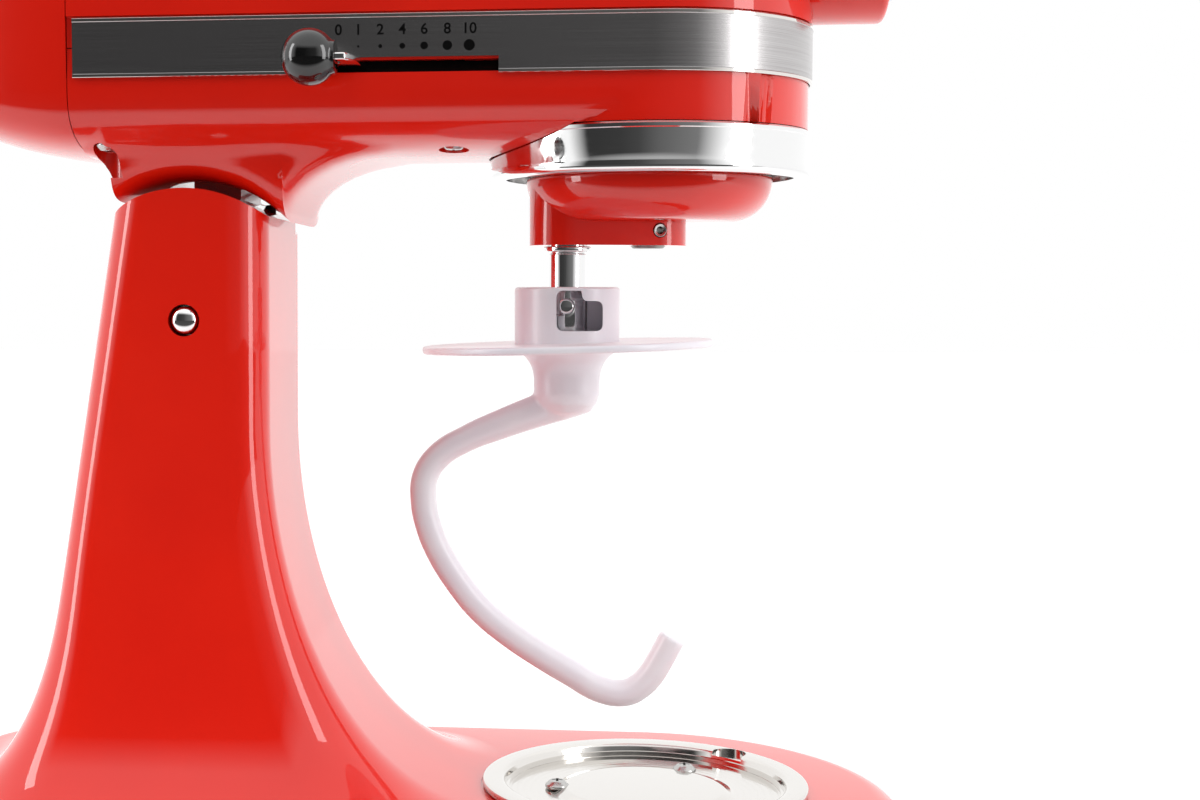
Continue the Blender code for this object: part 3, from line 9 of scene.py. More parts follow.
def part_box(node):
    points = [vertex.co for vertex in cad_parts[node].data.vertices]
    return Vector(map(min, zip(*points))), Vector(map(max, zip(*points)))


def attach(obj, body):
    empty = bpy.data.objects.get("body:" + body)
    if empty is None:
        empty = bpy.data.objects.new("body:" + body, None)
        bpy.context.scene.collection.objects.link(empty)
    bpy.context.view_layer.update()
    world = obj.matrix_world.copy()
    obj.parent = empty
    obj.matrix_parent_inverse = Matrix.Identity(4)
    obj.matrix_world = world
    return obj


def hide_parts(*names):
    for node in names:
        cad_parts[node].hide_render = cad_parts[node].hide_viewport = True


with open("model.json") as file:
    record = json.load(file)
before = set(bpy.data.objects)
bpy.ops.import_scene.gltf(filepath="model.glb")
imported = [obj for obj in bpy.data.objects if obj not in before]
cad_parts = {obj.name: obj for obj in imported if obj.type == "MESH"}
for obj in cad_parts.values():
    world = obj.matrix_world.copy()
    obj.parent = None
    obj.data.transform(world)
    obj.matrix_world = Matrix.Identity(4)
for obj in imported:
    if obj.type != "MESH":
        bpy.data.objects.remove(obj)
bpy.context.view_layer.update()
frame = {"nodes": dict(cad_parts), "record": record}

# ---- The studio: a camera beside the machine at the height of its hinge, looking slightly down, a pale
# floor with painted shade towards the camera in reflections, and a white tent of light that stays dark behind
# the camera, so that enamel and chrome show both.
camera = bpy.data.objects.new("camera", bpy.data.cameras.new("camera"))
camera.location = (0.0759, -0.6223, 0.2083)
camera.rotation_euler = (math.radians(90 - 3.33), 0, math.radians(6.23))
camera.data.lens = 54.03
camera.data.shift_x = 0.159
bpy.context.scene.collection.objects.link(camera)
bpy.context.scene.camera = camera
bpy.context.scene.view_settings.view_transform = "Standard"


def linear(hex_colour):
    """An sRGB hex colour as linear RGBA."""
    channels = [int(hex_colour[i : i + 2], 16) / 255 for i in (1, 3, 5)]
    return [c / 12.92 if c <= 0.04045 else ((c + 0.055) / 1.055) ** 2.4 for c in channels] + [1]


def add(tree, kind, inputs=(), **settings):
    """Adds a node, with its settings, and with its inputs set to values or linked to sockets."""
    node = tree.nodes.new("ShaderNode" + kind)
    for name, value in settings.items():
        setattr(node, name, value)
    for name, value in dict(inputs).items():
        if isinstance(value, bpy.types.NodeSocket):
            tree.links.new(value, node.inputs[name])
        else:
            node.inputs[name].default_value = value
    return node


def surface(name, shader_inputs):
    """A material with a Principled shader. The second value is its node tree, the third its shader."""
    material = bpy.data.materials.new(name)
    material.use_nodes = True
    tree = material.node_tree
    tree.nodes.clear()
    shader = add(tree, "BsdfPrincipled", shader_inputs)
    add(tree, "OutputMaterial", {"Surface": shader.outputs[0]})
    return material, tree, shader


floor_paint, floor_tree, floor_shader = surface("matte_floor", {"Roughness": 0.8, "Specular IOR Level": 0.0})
floor_place = add(floor_tree, "SeparateXYZ", {"Vector": add(floor_tree, "TexCoord").outputs["Object"]})
# Painted shade: for reflections and bounced light the floor's colour darkens to 0.06 towards the camera,
# standing in for a dark front, while the camera itself sees the floor white.
painted_floor_shade = add(floor_tree, "MapRange", {
    "Value": floor_place.outputs["Y"], "From Min": -0.46, "From Max": -0.3, "To Min": 0.06, "To Max": 0.95,
})
floor_colour_with_painted_shade = add(floor_tree, "Math", {
    0: painted_floor_shade.outputs[0], 1: add(floor_tree, "LightPath").outputs["Is Camera Ray"],
}, operation="MAXIMUM")
floor_tree.links.new(floor_colour_with_painted_shade.outputs[0], floor_shader.inputs["Base Color"])
floor_mesh = bmesh.new()
bmesh.ops.create_grid(floor_mesh, x_segments=1, y_segments=1, size=6)
floor = bpy.data.objects.new("floor", bpy.data.meshes.new("floor"))
floor_mesh.to_mesh(floor.data)
floor_mesh.free()
floor.data.materials.append(floor_paint)
floor.location.z = -0.0005
bpy.context.scene.collection.objects.link(floor)

world = bpy.data.worlds.new("tent")
world.use_nodes = True
bpy.context.scene.world = world
sky = world.node_tree
sky.nodes.clear()
direction = add(sky, "SeparateXYZ", {"Vector": add(sky, "TexCoord").outputs["Generated"]})
towards_camera = add(sky, "Math", {0: direction.outputs["Y"], 1: -1.0}, operation="MULTIPLY")
bearing = add(sky, "Math", {0: direction.outputs["X"], 1: towards_camera.outputs[0]}, operation="ARCTAN2")
turn_share = add(sky, "MapRange", {"Value": bearing.outputs[0], "From Min": -math.pi, "From Max": math.pi})
walls = add(sky, "ValToRGB", {"Fac": turn_share.outputs[0]})
TENT_STRENGTH = 1.3
# The light of the walls at each bearing, in degrees round from behind the camera.
WALL_LIGHT = [
    (-180, 1.2), (-60, 1.2), (-46, 0.04), (-22, 0.05), (-8, 0.07), (6, 0.14), (34, 0.23), (55, 1.2),
    (180, 1.2),
]
while len(walls.color_ramp.elements) < len(WALL_LIGHT):
    walls.color_ramp.elements.new(0.5)
for stop, (degrees, light) in zip(walls.color_ramp.elements, WALL_LIGHT):
    stop.position = degrees / 360 + 0.5
    stop.color = (*[light / TENT_STRENGTH] * 3, 1)
ceiling = add(sky, "MapRange", {"Value": direction.outputs["Z"], "From Min": 0.45, "From Max": 0.65})
inside = add(sky, "Mix", data_type="RGBA")
sky.links.new(ceiling.outputs[0], inside.inputs[0])
sky.links.new(walls.outputs[0], inside.inputs[6])
inside.inputs[7].default_value = (1, 1, 1, 1)
tent = add(sky, "Background", {"Color": inside.outputs[2], "Strength": TENT_STRENGTH})
backdrop = add(sky, "Background", {"Color": linear("#FFFFFF"), "Strength": 1.0})
seen = add(sky, "MixShader", {
    0: add(sky, "LightPath").outputs["Is Camera Ray"], 1: tent.outputs[0], 2: backdrop.outputs[0],
})
add(sky, "OutputWorld", {"Surface": seen.outputs[0]})


def softbox(name, place, aim, size, power):
    """A rectangular lamp at a place, turned to a point."""
    lamp = bpy.data.objects.new(name, bpy.data.lights.new(name, "AREA"))
    lamp.data.shape = "RECTANGLE"
    lamp.data.size, lamp.data.size_y = size
    lamp.data.energy = power
    lamp.location = place
    lamp.rotation_euler = (Vector(aim) - Vector(place)).to_track_quat("-Z", "Y").to_euler()
    bpy.context.scene.collection.objects.link(lamp)


softbox("left_softbox", (-1.15, -0.42, 0.55), (0, 0, 0.2), (0.25, 1.2), 5.6)
softbox("right_softbox", (1.2, -0.5, 0.6), (0, 0, 0.2), (0.35, 1.2), 6)


# ---- Enamel of the castings: aluminium alloy, sprayed and baked to a thick, wet-looking red. It gives a deep
# colour under a clear skin, with the faintest orange peel from the spray gun.


def noise(tree, size_mm, detail, stretch=(1, 1, 1)):
    """A cloudy texture fixed to the piece. Its clouds have a size, divided by the stretch on each axis."""
    place = add(tree, "TexCoord").outputs["Object"]
    if stretch != (1, 1, 1):
        place = add(tree, "Mapping", {"Vector": place, "Scale": stretch}).outputs[0]
    return add(tree, "TexNoise", {"Vector": place, "Scale": 1000 / size_mm, "Detail": detail})


def tint(tree, shader, texture, start, dark, end, light):
    """Colours a shader from one sRGB colour to another between two values of a texture."""
    ramp = add(tree, "ValToRGB", {"Fac": texture.outputs["Fac"]})
    for stop, position, colour in zip(ramp.color_ramp.elements, (start, end), (dark, light)):
        stop.position, stop.color = position, linear(colour)
    tree.links.new(ramp.outputs[0], shader.inputs["Base Color"])


def dent(tree, shader, texture, strength, distance, sockets=("Normal",)):
    """Bumps a shader's surface by a texture."""
    bump = add(tree, "Bump", {"Height": texture.outputs["Fac"], "Strength": strength, "Distance": distance})
    for socket in sockets:
        tree.links.new(bump.outputs[0], shader.inputs[socket])


enamel, enamel_tree, enamel_shader = surface("baked_red_enamel", {
    "Base Color": linear("#DE1B07"), "Roughness": 0.34, "IOR": 1.5, "Specular IOR Level": 0.1,
    "Coat Weight": 1.0, "Coat Roughness": 0.025, "Coat IOR": 1.55,
})
tint(enamel_tree, enamel_shader, noise(enamel_tree, 60, 3.0), 0.3, "#D91806", 0.75, "#E21E09")
dent(enamel_tree, enamel_shader, noise(enamel_tree, 5.0, 1.0), 0.035, 0.0003, ("Normal", "Coat Normal"))

# All the sections are drawn in millimetres from the bowl axis, which the drip ring's box gives.
ring_low, ring_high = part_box("drip_ring")
BOWL_AXIS = (ring_low.x + ring_high.x) / 2


def metres(point):
    return Vector((point[0] / 1000 + BOWL_AXIS, point[1] / 1000, point[2] / 1000))


def as_object(name, mesh_data, material, sharp=32.0):
    """Makes an object of a bmesh whose faces then point outwards, smooth but for its sharp edges."""
    bmesh.ops.remove_doubles(mesh_data, verts=mesh_data.verts, dist=1e-6)
    bmesh.ops.recalc_face_normals(mesh_data, faces=mesh_data.faces)
    mesh = bpy.data.meshes.new(name)
    mesh_data.to_mesh(mesh)
    mesh_data.free()
    mesh.materials.append(material)
    mesh.shade_smooth()
    mesh.set_sharp_from_angle(angle=math.radians(sharp))
    made = bpy.data.objects.new(name, mesh)
    bpy.context.scene.collection.objects.link(made)
    return made


def fasten(made, body, slot, *nodes):
    """The piece rides on a body and stands for its CAD nodes, which it hides. Its slot is not used."""
    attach(made, body)
    if nodes:
        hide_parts(*nodes)
    return made


def loft(rings, close=True):
    """A skin that starts as a circle laid on the first ring and is extruded along the others."""
    mesh_data = bmesh.new()
    count = len(rings[0])
    current = bmesh.ops.create_circle(mesh_data, segments=count, radius=1)["verts"]
    for vertex, point in zip(current, rings[0]):
        vertex.co = metres(point)
    first = list(current)
    for ring in rings[1:]:
        edges = [mesh_data.edges.get((current[i], current[(i + 1) % count])) for i in range(count)]
        grown = bmesh.ops.extrude_edge_only(mesh_data, edges=edges)["geom"]
        at = {v.co.to_tuple(9): v for v in grown if isinstance(v, bmesh.types.BMVert)}
        current = [at[v.co.to_tuple(9)] for v in current]
        for vertex, point in zip(current, ring):
            vertex.co = metres(point)
    if close:
        mesh_data.faces.new(first)
        mesh_data.faces.new(current)
    return mesh_data


def turned(profile, centre=(0, 0, 0), along="Z", steps=96, closed=False):
    """Spins a profile of (radius, height) points round an axis through the centre."""
    mesh_data = bmesh.new()
    vertices = [mesh_data.verts.new((radius / 1000, 0, height / 1000)) for radius, height in profile]
    pairs = list(zip(vertices, vertices[1:])) + ([(vertices[-1], vertices[0])] if closed else [])
    edges = [mesh_data.edges.new(pair) for pair in pairs]
    bmesh.ops.spin(mesh_data, geom=vertices + edges, cent=(0, 0, 0), axis=(0, 0, 1), angle=2 * math.pi,
                   steps=steps, use_merge=True)
    bmesh.ops.remove_doubles(mesh_data, verts=mesh_data.verts, dist=1e-7)
    turn = {
        "Z": Matrix.Identity(4), "X": Matrix.Rotation(math.pi / 2, 4, "Y"),
        "Y": Matrix.Rotation(-math.pi / 2, 4, "X"),
    }[along]
    bmesh.ops.transform(mesh_data, matrix=Matrix.Translation(metres(centre)) @ turn, verts=mesh_data.verts)
    return mesh_data


def rounded(points, radius, steps=4):
    """The same path with its inner corners rounded."""
    path = [points[0]]
    for before, corner, after in zip(points, points[1:], points[2:]):
        corner, back, ahead = Vector(corner), Vector(before), Vector(after)
        reach = min(radius, (back - corner).length * 0.45, (ahead - corner).length * 0.45)
        start = corner + (back - corner).normalized() * reach
        end = corner + (ahead - corner).normalized() * reach
        for i in range(steps + 1):
            t = i / steps
            path.append(tuple(start * (1 - t) ** 2 + corner * 2 * t * (1 - t) + end * t * t))
    return path + [points[-1]]


def carve(made, cutters, operation="DIFFERENCE"):
    """Cuts shapes out of a piece, or welds them to it, and applies the result."""
    for i, cutter in enumerate(cutters):
        modifier = made.modifiers.new(f"cut_{i}", "BOOLEAN")
        modifier.operation = operation
        modifier.object = cutter
    bpy.context.view_layer.update()
    evaluated = made.evaluated_get(bpy.context.evaluated_depsgraph_get())
    mesh = bpy.data.meshes.new_from_object(evaluated)
    made.modifiers.clear()
    made.data = mesh
    for cutter in cutters:
        bpy.data.objects.remove(cutter)
    mesh.shade_smooth()
    mesh.set_sharp_from_angle(angle=math.radians(32))
    return made


def bar(low, high):
    """A box between two corners, as a cutter."""
    mesh_data = bmesh.new()
    bmesh.ops.create_cube(mesh_data, size=1)
    middle = [(a + b) / 2 for a, b in zip(low, high)]
    size = [(b - a) / 1000 for a, b in zip(low, high)]
    place = Matrix.Translation(metres(middle)) @ Matrix.Diagonal((*size, 1))
    bmesh.ops.transform(mesh_data, matrix=place, verts=mesh_data.verts)
    return as_object("cutter", mesh_data, enamel)


def slab(outline, low, high, along="Y", name="cutter", material=enamel):
    """An outline pushed straight through along an axis, as a cutter or as a piece of its own."""
    if along == "Y":
        rings = [[(a, level, b) for a, b in outline] for level in (low, high)]
    else:
        rings = [[(a, b, level) for a, b in outline] for level in (low, high)]
    return as_object(name, loft(rings), material)


def drill(radius, low, high, centre=(0, 0, 0), along="Z", steps=32):
    """A round cutter."""
    profile = [(0, low), (radius, low), (radius, high), (0, high)]
    return as_object("cutter", turned(profile, centre, along, steps), enamel)


def soften(made, width, segments=2, angle=45):
    """Rounds a piece's sharp edges by a width in millimetres."""
    edge = made.modifiers.new("rounded_edges", "BEVEL")
    edge.width, edge.segments, edge.limit_method = width / 1000, segments, "ANGLE"
    edge.angle_limit = math.radians(angle)
    return made


def arc(centre_x, centre_y, radius, start, end, steps):
    angles = [math.radians(start + (end - start) * i / steps) for i in range(steps + 1)]
    return [(centre_x + radius * math.cos(a), centre_y + radius * math.sin(a)) for a in angles]


# ---- The stand: one enamelled casting of deck and pedestal. The deck rolls over at its rim, and the neck
# sweeps out of it with no seam, flat on its sides, with round corners and a saddle at the top.
DECK = 38.0
RIM = 12.0
HALF = 89.0
NECK = 40.0
HINGE = (-152.5, 200.0)
FRONT_SWEEP = 127
FLARE_TOP = 150
KICK_TOP = 110
RIM_POINTS = (40, 14, 12, 14)
HINGE_CENTRE = (HINGE[0], 0, HINGE[1])


def fall(progress, fullness):
    """Falls from 1 to 0 along a superellipse of the given power."""
    return (1 - min(max(progress, 0), 1) ** fullness) ** (1 / fullness)


def deck_ring(inset, z):
    """The rim of the deck in the order that the neck's rings follow: nose, left side, rear, right side."""
    nose, side, corner, back = RIM_POINTS
    half, round_corner, rear = HALF - inset, 62 - inset, -198.0
    ring = arc(0, 0, half, -90, 90, nose * 3)
    ring += [(rear * i / (side + 1), half) for i in range(1, side + 1)]
    ring += arc(rear, 27, round_corner, 90, 180, corner * 2)
    ring += [(rear - round_corner, 27 - 54 * i / (back + 1)) for i in range(1, back + 1)]
    ring += arc(rear, -27, round_corner, 180, 270, corner * 2)
    ring += [(rear * (1 - i / (side + 1)), -half) for i in range(1, side + 1)]
    return [(x, y, z) for x, y in ring]


def rear_lean(z):
    """How far behind the bowl axis the neck's sloping rear lies at a height."""
    return 178 + 0.156 * (238 - z)


def neck_ring(z):
    """The neck at a height, with as many points in each part as the deck's rim."""
    nose, side, corner, back = RIM_POINTS
    front = -126 + 76 * (1 - fall((DECK + FRONT_SWEEP - z) / FRONT_SWEEP, 2))
    spread = 1 - fall((FLARE_TOP - z) / (FLARE_TOP - DECK), 2.2)
    half = NECK + (HALF - RIM - NECK) * spread
    kick = 1 - fall((KICK_TOP - z) / (KICK_TOP - DECK), 2.5)
    rear = -rear_lean(z) - (260 - RIM - rear_lean(DECK)) * kick
    edge = 13 + 32 * spread
    ring = arc(front - edge, edge - half, edge, -90, 0, nose)
    ring += [(front, (half - edge) * (2 * i / nose - 1)) for i in range(1, nose)]
    ring += arc(front - edge, half - edge, edge, 0, 90, nose)
    ring += [(front - edge + (rear - front + 2 * edge) * i / (side + 1), half) for i in range(1, side + 1)]
    ring += arc(rear + edge, half - edge, edge, 90, 180, corner * 2)
    ring += [(rear, (half - edge) * (1 - 2 * i / (back + 1))) for i in range(1, back + 1)]
    ring += arc(rear + edge, edge - half, edge, 180, 270, corner * 2)
    ring += [(rear + edge - (rear - front + 2 * edge) * i / (side + 1), -half) for i in range(1, side + 1)]
    return [(x, y, z) for x, y in ring]


stand_rings = [deck_ring(0.8, 22.3), deck_ring(0, 23.0), deck_ring(0, DECK - RIM)]
for step in range(1, 13):
    turn = math.radians(90 * step / 12)
    stand_rings.append(deck_ring(RIM * (1 - math.cos(turn)), DECK - RIM + RIM * math.sin(turn)))
stand_rings.append(neck_ring(DECK + 0.02))
height = DECK + 0.1
while height < 248:
    stand_rings.append(neck_ring(height))
    height += min(0.25 + (height - DECK) * 0.16, 5)
pedestal = as_object("pedestal_casting", loft(stand_rings), enamel)
saddle = arc(*HINGE, 43.5, 10, 170, 80) + [(HINGE[0] - 60, 275), (HINGE[0] + 60, 275)]
groove = arc(*HINGE, 40.3, 48, 103, 12) + arc(*HINGE, 70, 103, 48, 8)
hollow = [[(x, y, z) for x, y, _ in neck_ring(max(z, 52))] for z in (15, 52, 80, 110, 140, 174)]
hollow = [[(x + (6 if x < -150 else -6), y * 0.85, z) for x, y, z in ring] for ring in hollow]
carve(pedestal, [
    as_object("cutter", loft([deck_ring(5, 20), deck_ring(5, 33)]), enamel),
    as_object("cutter", loft(hollow), enamel),
    slab(saddle, -50, 50),
    bar((-173.8, -18, 183), (-135.5, 18, 270)),
    slab(groove, 23.4, 33.6),
    drill(5.3, -50, 50, HINGE_CENTRE, "Y", 48),
    drill(49, 35.4, 60, steps=96),
    drill(56.6, DECK + 0.02, 60, steps=96),
    drill(2.4, -30, 50, (-130.7, 0, 200), steps=24),
])
fasten(soften(pedestal, 0.5, 2, 50), "stand", "red_enamel", "pedestal")

# ---- The pan under the stand: a shallow enamelled tray that closes the casting from below, screwed on from
# underneath, with a shadow line where the two meet.
pan = as_object("base_tray", loft([
    deck_ring(6, 4.0), deck_ring(2, 4.4), deck_ring(0.6, 6), deck_ring(0.2, 8), deck_ring(0, 21.2),
    deck_ring(0.7, 22.0), deck_ring(5, 22.0), deck_ring(5, 8.0),
]), enamel)
fasten(pan, "stand", "red_enamel", "base_pan")

# ---- Stainless steel: the bowl clamp plate is a pressed disc, polished on a wheel, with a rolled rim, a
# sunk ring for the bowl's foot, a raised middle with three screws, and two entries for the bowl's lugs.


def haze(tree, shader, texture, smooth, rough, start=0.0, end=1.0):
    """Varies a shader's roughness between two values of a texture."""
    spread = add(tree, "MapRange", {
        "Value": texture.outputs["Fac"], "From Min": start, "From Max": end, "To Min": smooth,
        "To Max": rough,
    })
    tree.links.new(spread.outputs[0], shader.inputs["Roughness"])


polished, polished_tree, polished_shader = surface("polished_stainless", {
    "Base Color": linear("#D9D6D2"), "Metallic": 1.0, "Roughness": 0.09,
})
plate_place = add(polished_tree, "TexCoord").outputs["Object"]
plate_centre = add(polished_tree, "Mapping", {"Vector": plate_place, "Location": (-BOWL_AXIS, 0, 0)})
# Buffing rings 0.4 mm apart are drawn 1.2 mm apart, which is the finest that shows.
buffing = add(polished_tree, "TexWave", {
    "Vector": plate_centre.outputs[0], "Scale": 1000 / 1.2 / 6.28, "Distortion": 1.5, "Detail": 2.0,
}, wave_type="RINGS", rings_direction="Z")
haze(polished_tree, polished_shader, buffing, 0.06, 0.14)
plate_path = rounded([
    (46.6, 38.3), (56, 38.3), (56, 41), (48.5, 41), (47.2, 36.6), (30.5, 36.3), (27.5, 37.8), (0, 37.8),
], 1.3)
plate_path += [(0, 36.2), (26.5, 36.2), (30, 35.8), (46.6, 35.8), (46.6, 38.3)]
plate = as_object("bowl_clamp_plate", turned(plate_path, steps=128), polished)
lug_entries = [math.radians(50), math.radians(230)]
carve(plate, [drill(6.5, 39.2, 45, (48.5 * math.cos(a), 48.5 * math.sin(a), 0)) for a in lug_entries])
fasten(plate, "stand", "chrome", "clamp_plate")

# ---- Fixings: zinc-plated steel screws with pan heads and a cross recess, driven up or down into bosses.
# The pressed heads have a soft edge, and the plating is slightly dull.
plated, plated_tree, plated_shader = surface("zinc_plated_steel", {
    "Base Color": linear("#B9B8B6"), "Metallic": 1.0, "Roughness": 0.25,
})
# Plating crystals are far below 0.1 mm, and are drawn as 1 mm clouds so that they show.
haze(plated_tree, plated_shader, noise(plated_tree, 1.0, 3.0), 0.16, 0.34)
SHANK = 2.0
HEAD_HEIGHT = 2.9
RECESS = ((0.42, 1.9), (1.9, 0.42))
rides_on = {node: body for body, nodes in frame["record"]["behaviour"]["bodies"].items() for node in nodes}
finish_of = {part["node"]: part["material_slot"] for part in frame["record"]["subparts"]}


def stand_for(made, *nodes):
    """The piece takes the body of the CAD nodes that it stands for, and passes on their finish, which is not
    used.
    """
    return fasten(made, rides_on[nodes[0]], finish_of[nodes[0]], *nodes)


def centre_of(node):
    """The middle of a node, seen from above."""
    low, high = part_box(node)
    return ((low.x + high.x) * 500 - BOWL_AXIS * 1000, (low.y + high.y) * 500, 0)


def screw(node, up, head=None):
    """A vertical screw with its head up or down: a domed head with a cross recess, on a plain shank."""
    low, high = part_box(node)
    centre = centre_of(node)
    way = 1 if up else -1
    head = head or (high.x - low.x) * 500
    tip, crown = (low.z * 1000, high.z * 1000) if up else (high.z * 1000, low.z * 1000)
    seat = crown - way * HEAD_HEIGHT
    profile = rounded([
        (0, tip), (SHANK - 0.6, tip), (SHANK, tip + way * 0.8), (SHANK, seat), (head, seat),
        (head, seat + way * 1.0), (head * 0.62, crown - way * 0.3), (0, crown),
    ], 0.5)
    made = as_object(node + "_cross_head", turned(profile, centre, "Z", 40), plated)
    floor_z, top_z = sorted((crown - way * 1.7, crown + way * 1.0))
    arms = [
        bar((centre[0] - across, centre[1] - along, floor_z), (centre[0] + across, centre[1] + along, top_z))
        for across, along in RECESS
    ]
    return stand_for(carve(made, arms), node)


for i in range(1, 4):
    screw(f"clamp_screw_{i}", True)
for i in range(1, 5):
    screw(f"housing_screw_{i}", False, 4.2)
    screw(f"pedestal_screw_{i}", False)

# ---- Feet: five soft black rubber pads, moulded with a round edge and a stud that pulls through the pan.
# The rubber is matte, with dust in its pores.
rubber, rubber_tree, rubber_shader = surface("moulded_rubber", {
    "Base Color": linear("#1B1A1A"), "Roughness": 0.75,
})
pores = noise(rubber_tree, 0.8, 4.0)
tint(rubber_tree, rubber_shader, pores, 0.35, "#171616", 0.8, "#2B2A29")
dent(rubber_tree, rubber_shader, pores, 0.25, 0.0002)
for i in range(1, 6):
    low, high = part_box(f"foot_{i}")
    radius, top = (high.x - low.x) * 500, high.z * 1000
    profile = rounded([
        (0, 0.6), (radius * 0.55, 0.6), (radius * 0.62, 0), (radius, 0), (radius, 3.7), (3.9, 3.7),
        (3.9, top), (0, top),
    ], 1.0)
    pad = as_object(f"foot_{i}_pad", turned(profile, centre_of(f"foot_{i}"), "Z", 48), rubber)
    stand_for(pad, f"foot_{i}")

# ---- Hinge pin: a ground steel rod with domed, chromed ends, a slide fit in the neck and the head's tongue.
# It shows as a bright button in a dark ring on each side of the neck.
chrome, chrome_tree, chrome_shader = surface("bright_chrome_plate", {
    "Base Color": linear("#E4E4E4"), "Metallic": 1.0, "Roughness": 0.05,
})
# Wiping marks of about 0.1 mm are drawn 2 mm apart.
haze(chrome_tree, chrome_shader, noise(chrome_tree, 12.0, 5.0, (1, 1, 6)), 0.03, 0.13, 0.35, 0.8)
low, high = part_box("hinge_pin")
reach = high.y * 1000
dome_turns = [math.radians(a) for a in range(0, 91, 10)]
half_pin = [(4.4 * math.sin(turn), reach - 2.2 * (1 - math.cos(turn))) for turn in dome_turns]
pin_profile = half_pin + [(4.7, reach - 2.9), (4.7, 2.9 - reach)] + [(r, -y) for r, y in reversed(half_pin)]
stand_for(as_object("hinge_pin_domed", turned(pin_profile, HINGE_CENTRE, "Y", 64), chrome), "hinge_pin")

# ---- Lower housing: one aluminium casting, enamelled like the stand. It is a rounded trough for the motor, a
# drum for the gears at its nose, and a stub that rests over the saddle, with the hinge tongue inside.
SEAM = -187.0
BAND_LOW = 278.0
BAND_HIGH = 297.0
SIDE = 53.0
JOINT = 287.5
MOTOR_AXIS = 305.0
HEAD_FLOOR = 254.5


def stub_bottom(x):
    """Height of the head's underside along the head, with the arc over the saddle and its two fillets."""
    back, ahead = HINGE[0] - 24.5, HINGE[0] + 33
    if x < back:
        low = HINGE[1] + math.sqrt(46.5**2 - 24.5**2)
        return low + (HEAD_FLOOR - low) * fall((x - SEAM + 1) / (back - SEAM + 1), 2)
    if x > ahead:
        low = HINGE[1] + math.sqrt(46.5**2 - 33**2)
        return low + (HEAD_FLOOR - low) * fall((-83 - x) / (-83 - ahead), 2)
    return HINGE[1] + math.sqrt(46.5**2 - (x - HINGE[0]) ** 2)


def edge_radius(angle, half_width, depth, fullness):
    across = abs(math.cos(angle) / half_width) ** fullness
    down = abs(math.sin(angle) / depth) ** fullness
    return (across + down) ** (-1 / fullness)


def trough_ring(x):
    """The trough's outline, which swells down into the stub with a soft corner."""
    trough, extra = BAND_LOW - HEAD_FLOOR, HEAD_FLOOR - stub_bottom(x)
    ring = [(x, SIDE, JOINT - 0.15), (x, SIDE, BAND_LOW + 4)]
    for degrees in [i * 2.5 for i in range(73)]:
        angle = math.radians(degrees)
        radius = edge_radius(angle, SIDE, trough, 3.2)
        if extra > 0.01:
            stub = edge_radius(angle, NECK, trough + extra, 7)
            width = min(9, extra)
            share = max(width - abs(radius - stub), 0) / width
            radius = max(radius, stub) + share * share * width / 4
        ring.append((x, radius * math.cos(angle), BAND_LOW - radius * math.sin(angle)))
    return ring + [(x, -SIDE, BAND_LOW + 4), (x, -SIDE, JOINT - 0.15)]


def plain_hollow(rear, ahead, half, depth, fullness):
    """A trough-shaped space inside the casting, open at the top."""
    rings = []
    for x in (rear, ahead):
        ring = [(x, half, JOINT + 5)]
        for i in range(13):
            turn = math.pi * i / 12
            across = math.copysign(abs(math.cos(turn)) ** (2 / fullness), math.cos(turn))
            ring.append((x, half * across, BAND_LOW - depth * math.sin(turn) ** (2 / fullness)))
        rings.append(ring + [(x, -half, JOINT + 5)])
    return as_object("cutter", loft(rings), enamel)


back, ahead = HINGE[0] - 24.5, HINGE[0] + 33
stations = [SEAM, -186, -184.5, -183, -181, -179, -178, -177.4, back + 0.02]
stations += [back + (ahead - back) * i / 22 for i in range(1, 22)] + [ahead - 0.02, ahead + 0.15]
stations += [-119, -118.2, -117, -115, -112, -108, -104, -99, -94, -88.5, -83, -70, -55, -40, -25, -12, -2]
housing = as_object("gear_housing", loft([trough_ring(x) for x in stations]), enamel)
tongue = arc(*HINGE, 15, 96, 360, 40) + [(HINGE[0] + 15, 256.5), (HINGE[0] - 1, 256.5)]
drum = [(0, 260.6), (SIDE, 260.6), (SIDE, JOINT - 0.3), (0, JOINT - 0.3)]
carve(housing, [as_object("cutter", turned(drum, steps=160), enamel), slab(tongue, -17.7, 17.7)], "UNION")
latch_x = HINGE[0] + 48.5 * math.cos(math.radians(100))
latch_z = HINGE[1] + 48.5 * math.sin(math.radians(100))
cutters = [
    drill(54.3, 230, 262.9, steps=160),
    plain_hollow(SEAM - 1, -59, SIDE - 3.5, BAND_LOW - HEAD_FLOOR - 3.5, 3.2),
    plain_hollow(-62, -5, SIDE - 5.5, BAND_LOW - 268, 8),
    drill(SIDE - 4.5, 268, JOINT + 5),
    drill(6.3, 250, 280),
    drill(4.3, 265, 280, (-math.sqrt(42**2 - 26**2), 26, 0)),
    drill(5.0, -30, 30, HINGE_CENTRE, "Y"),
    bar((-99.6, -56, 278.6), (-48.0, -47, 282.5)),
    as_object("cutter", turned([
        (0, 23.5), (9, 23.5), (9, 33.5), (3.3, 33.5), (3.3, 70), (0, 70),
    ], (latch_x, 0, latch_z), "Y", 40), enamel),
]
for i, (pocket_from, bore_from) in enumerate([(225, 225), (225, 225), (247, 250), (247, 250)], 1):
    place = centre_of(f"housing_screw_{i}")
    cutters += [drill(5, pocket_from, 259, place), drill(2.3, bore_from, 279, place, steps=20)]
carve(housing, cutters)
stand_for(soften(housing, 0.5, 2, 50), "lower_housing")

# ---- Upper housing: the enamelled dome over motor and gears, cast in one with the barrel of the attachment
# hub at its nose. It sits on the lower housing behind the trim band.
DOME = 56.0


def dome_height(x):
    """The share of its full height that the crown line has along the head."""
    return 1 - 0.055 * ((x + 95) / 150) ** 2


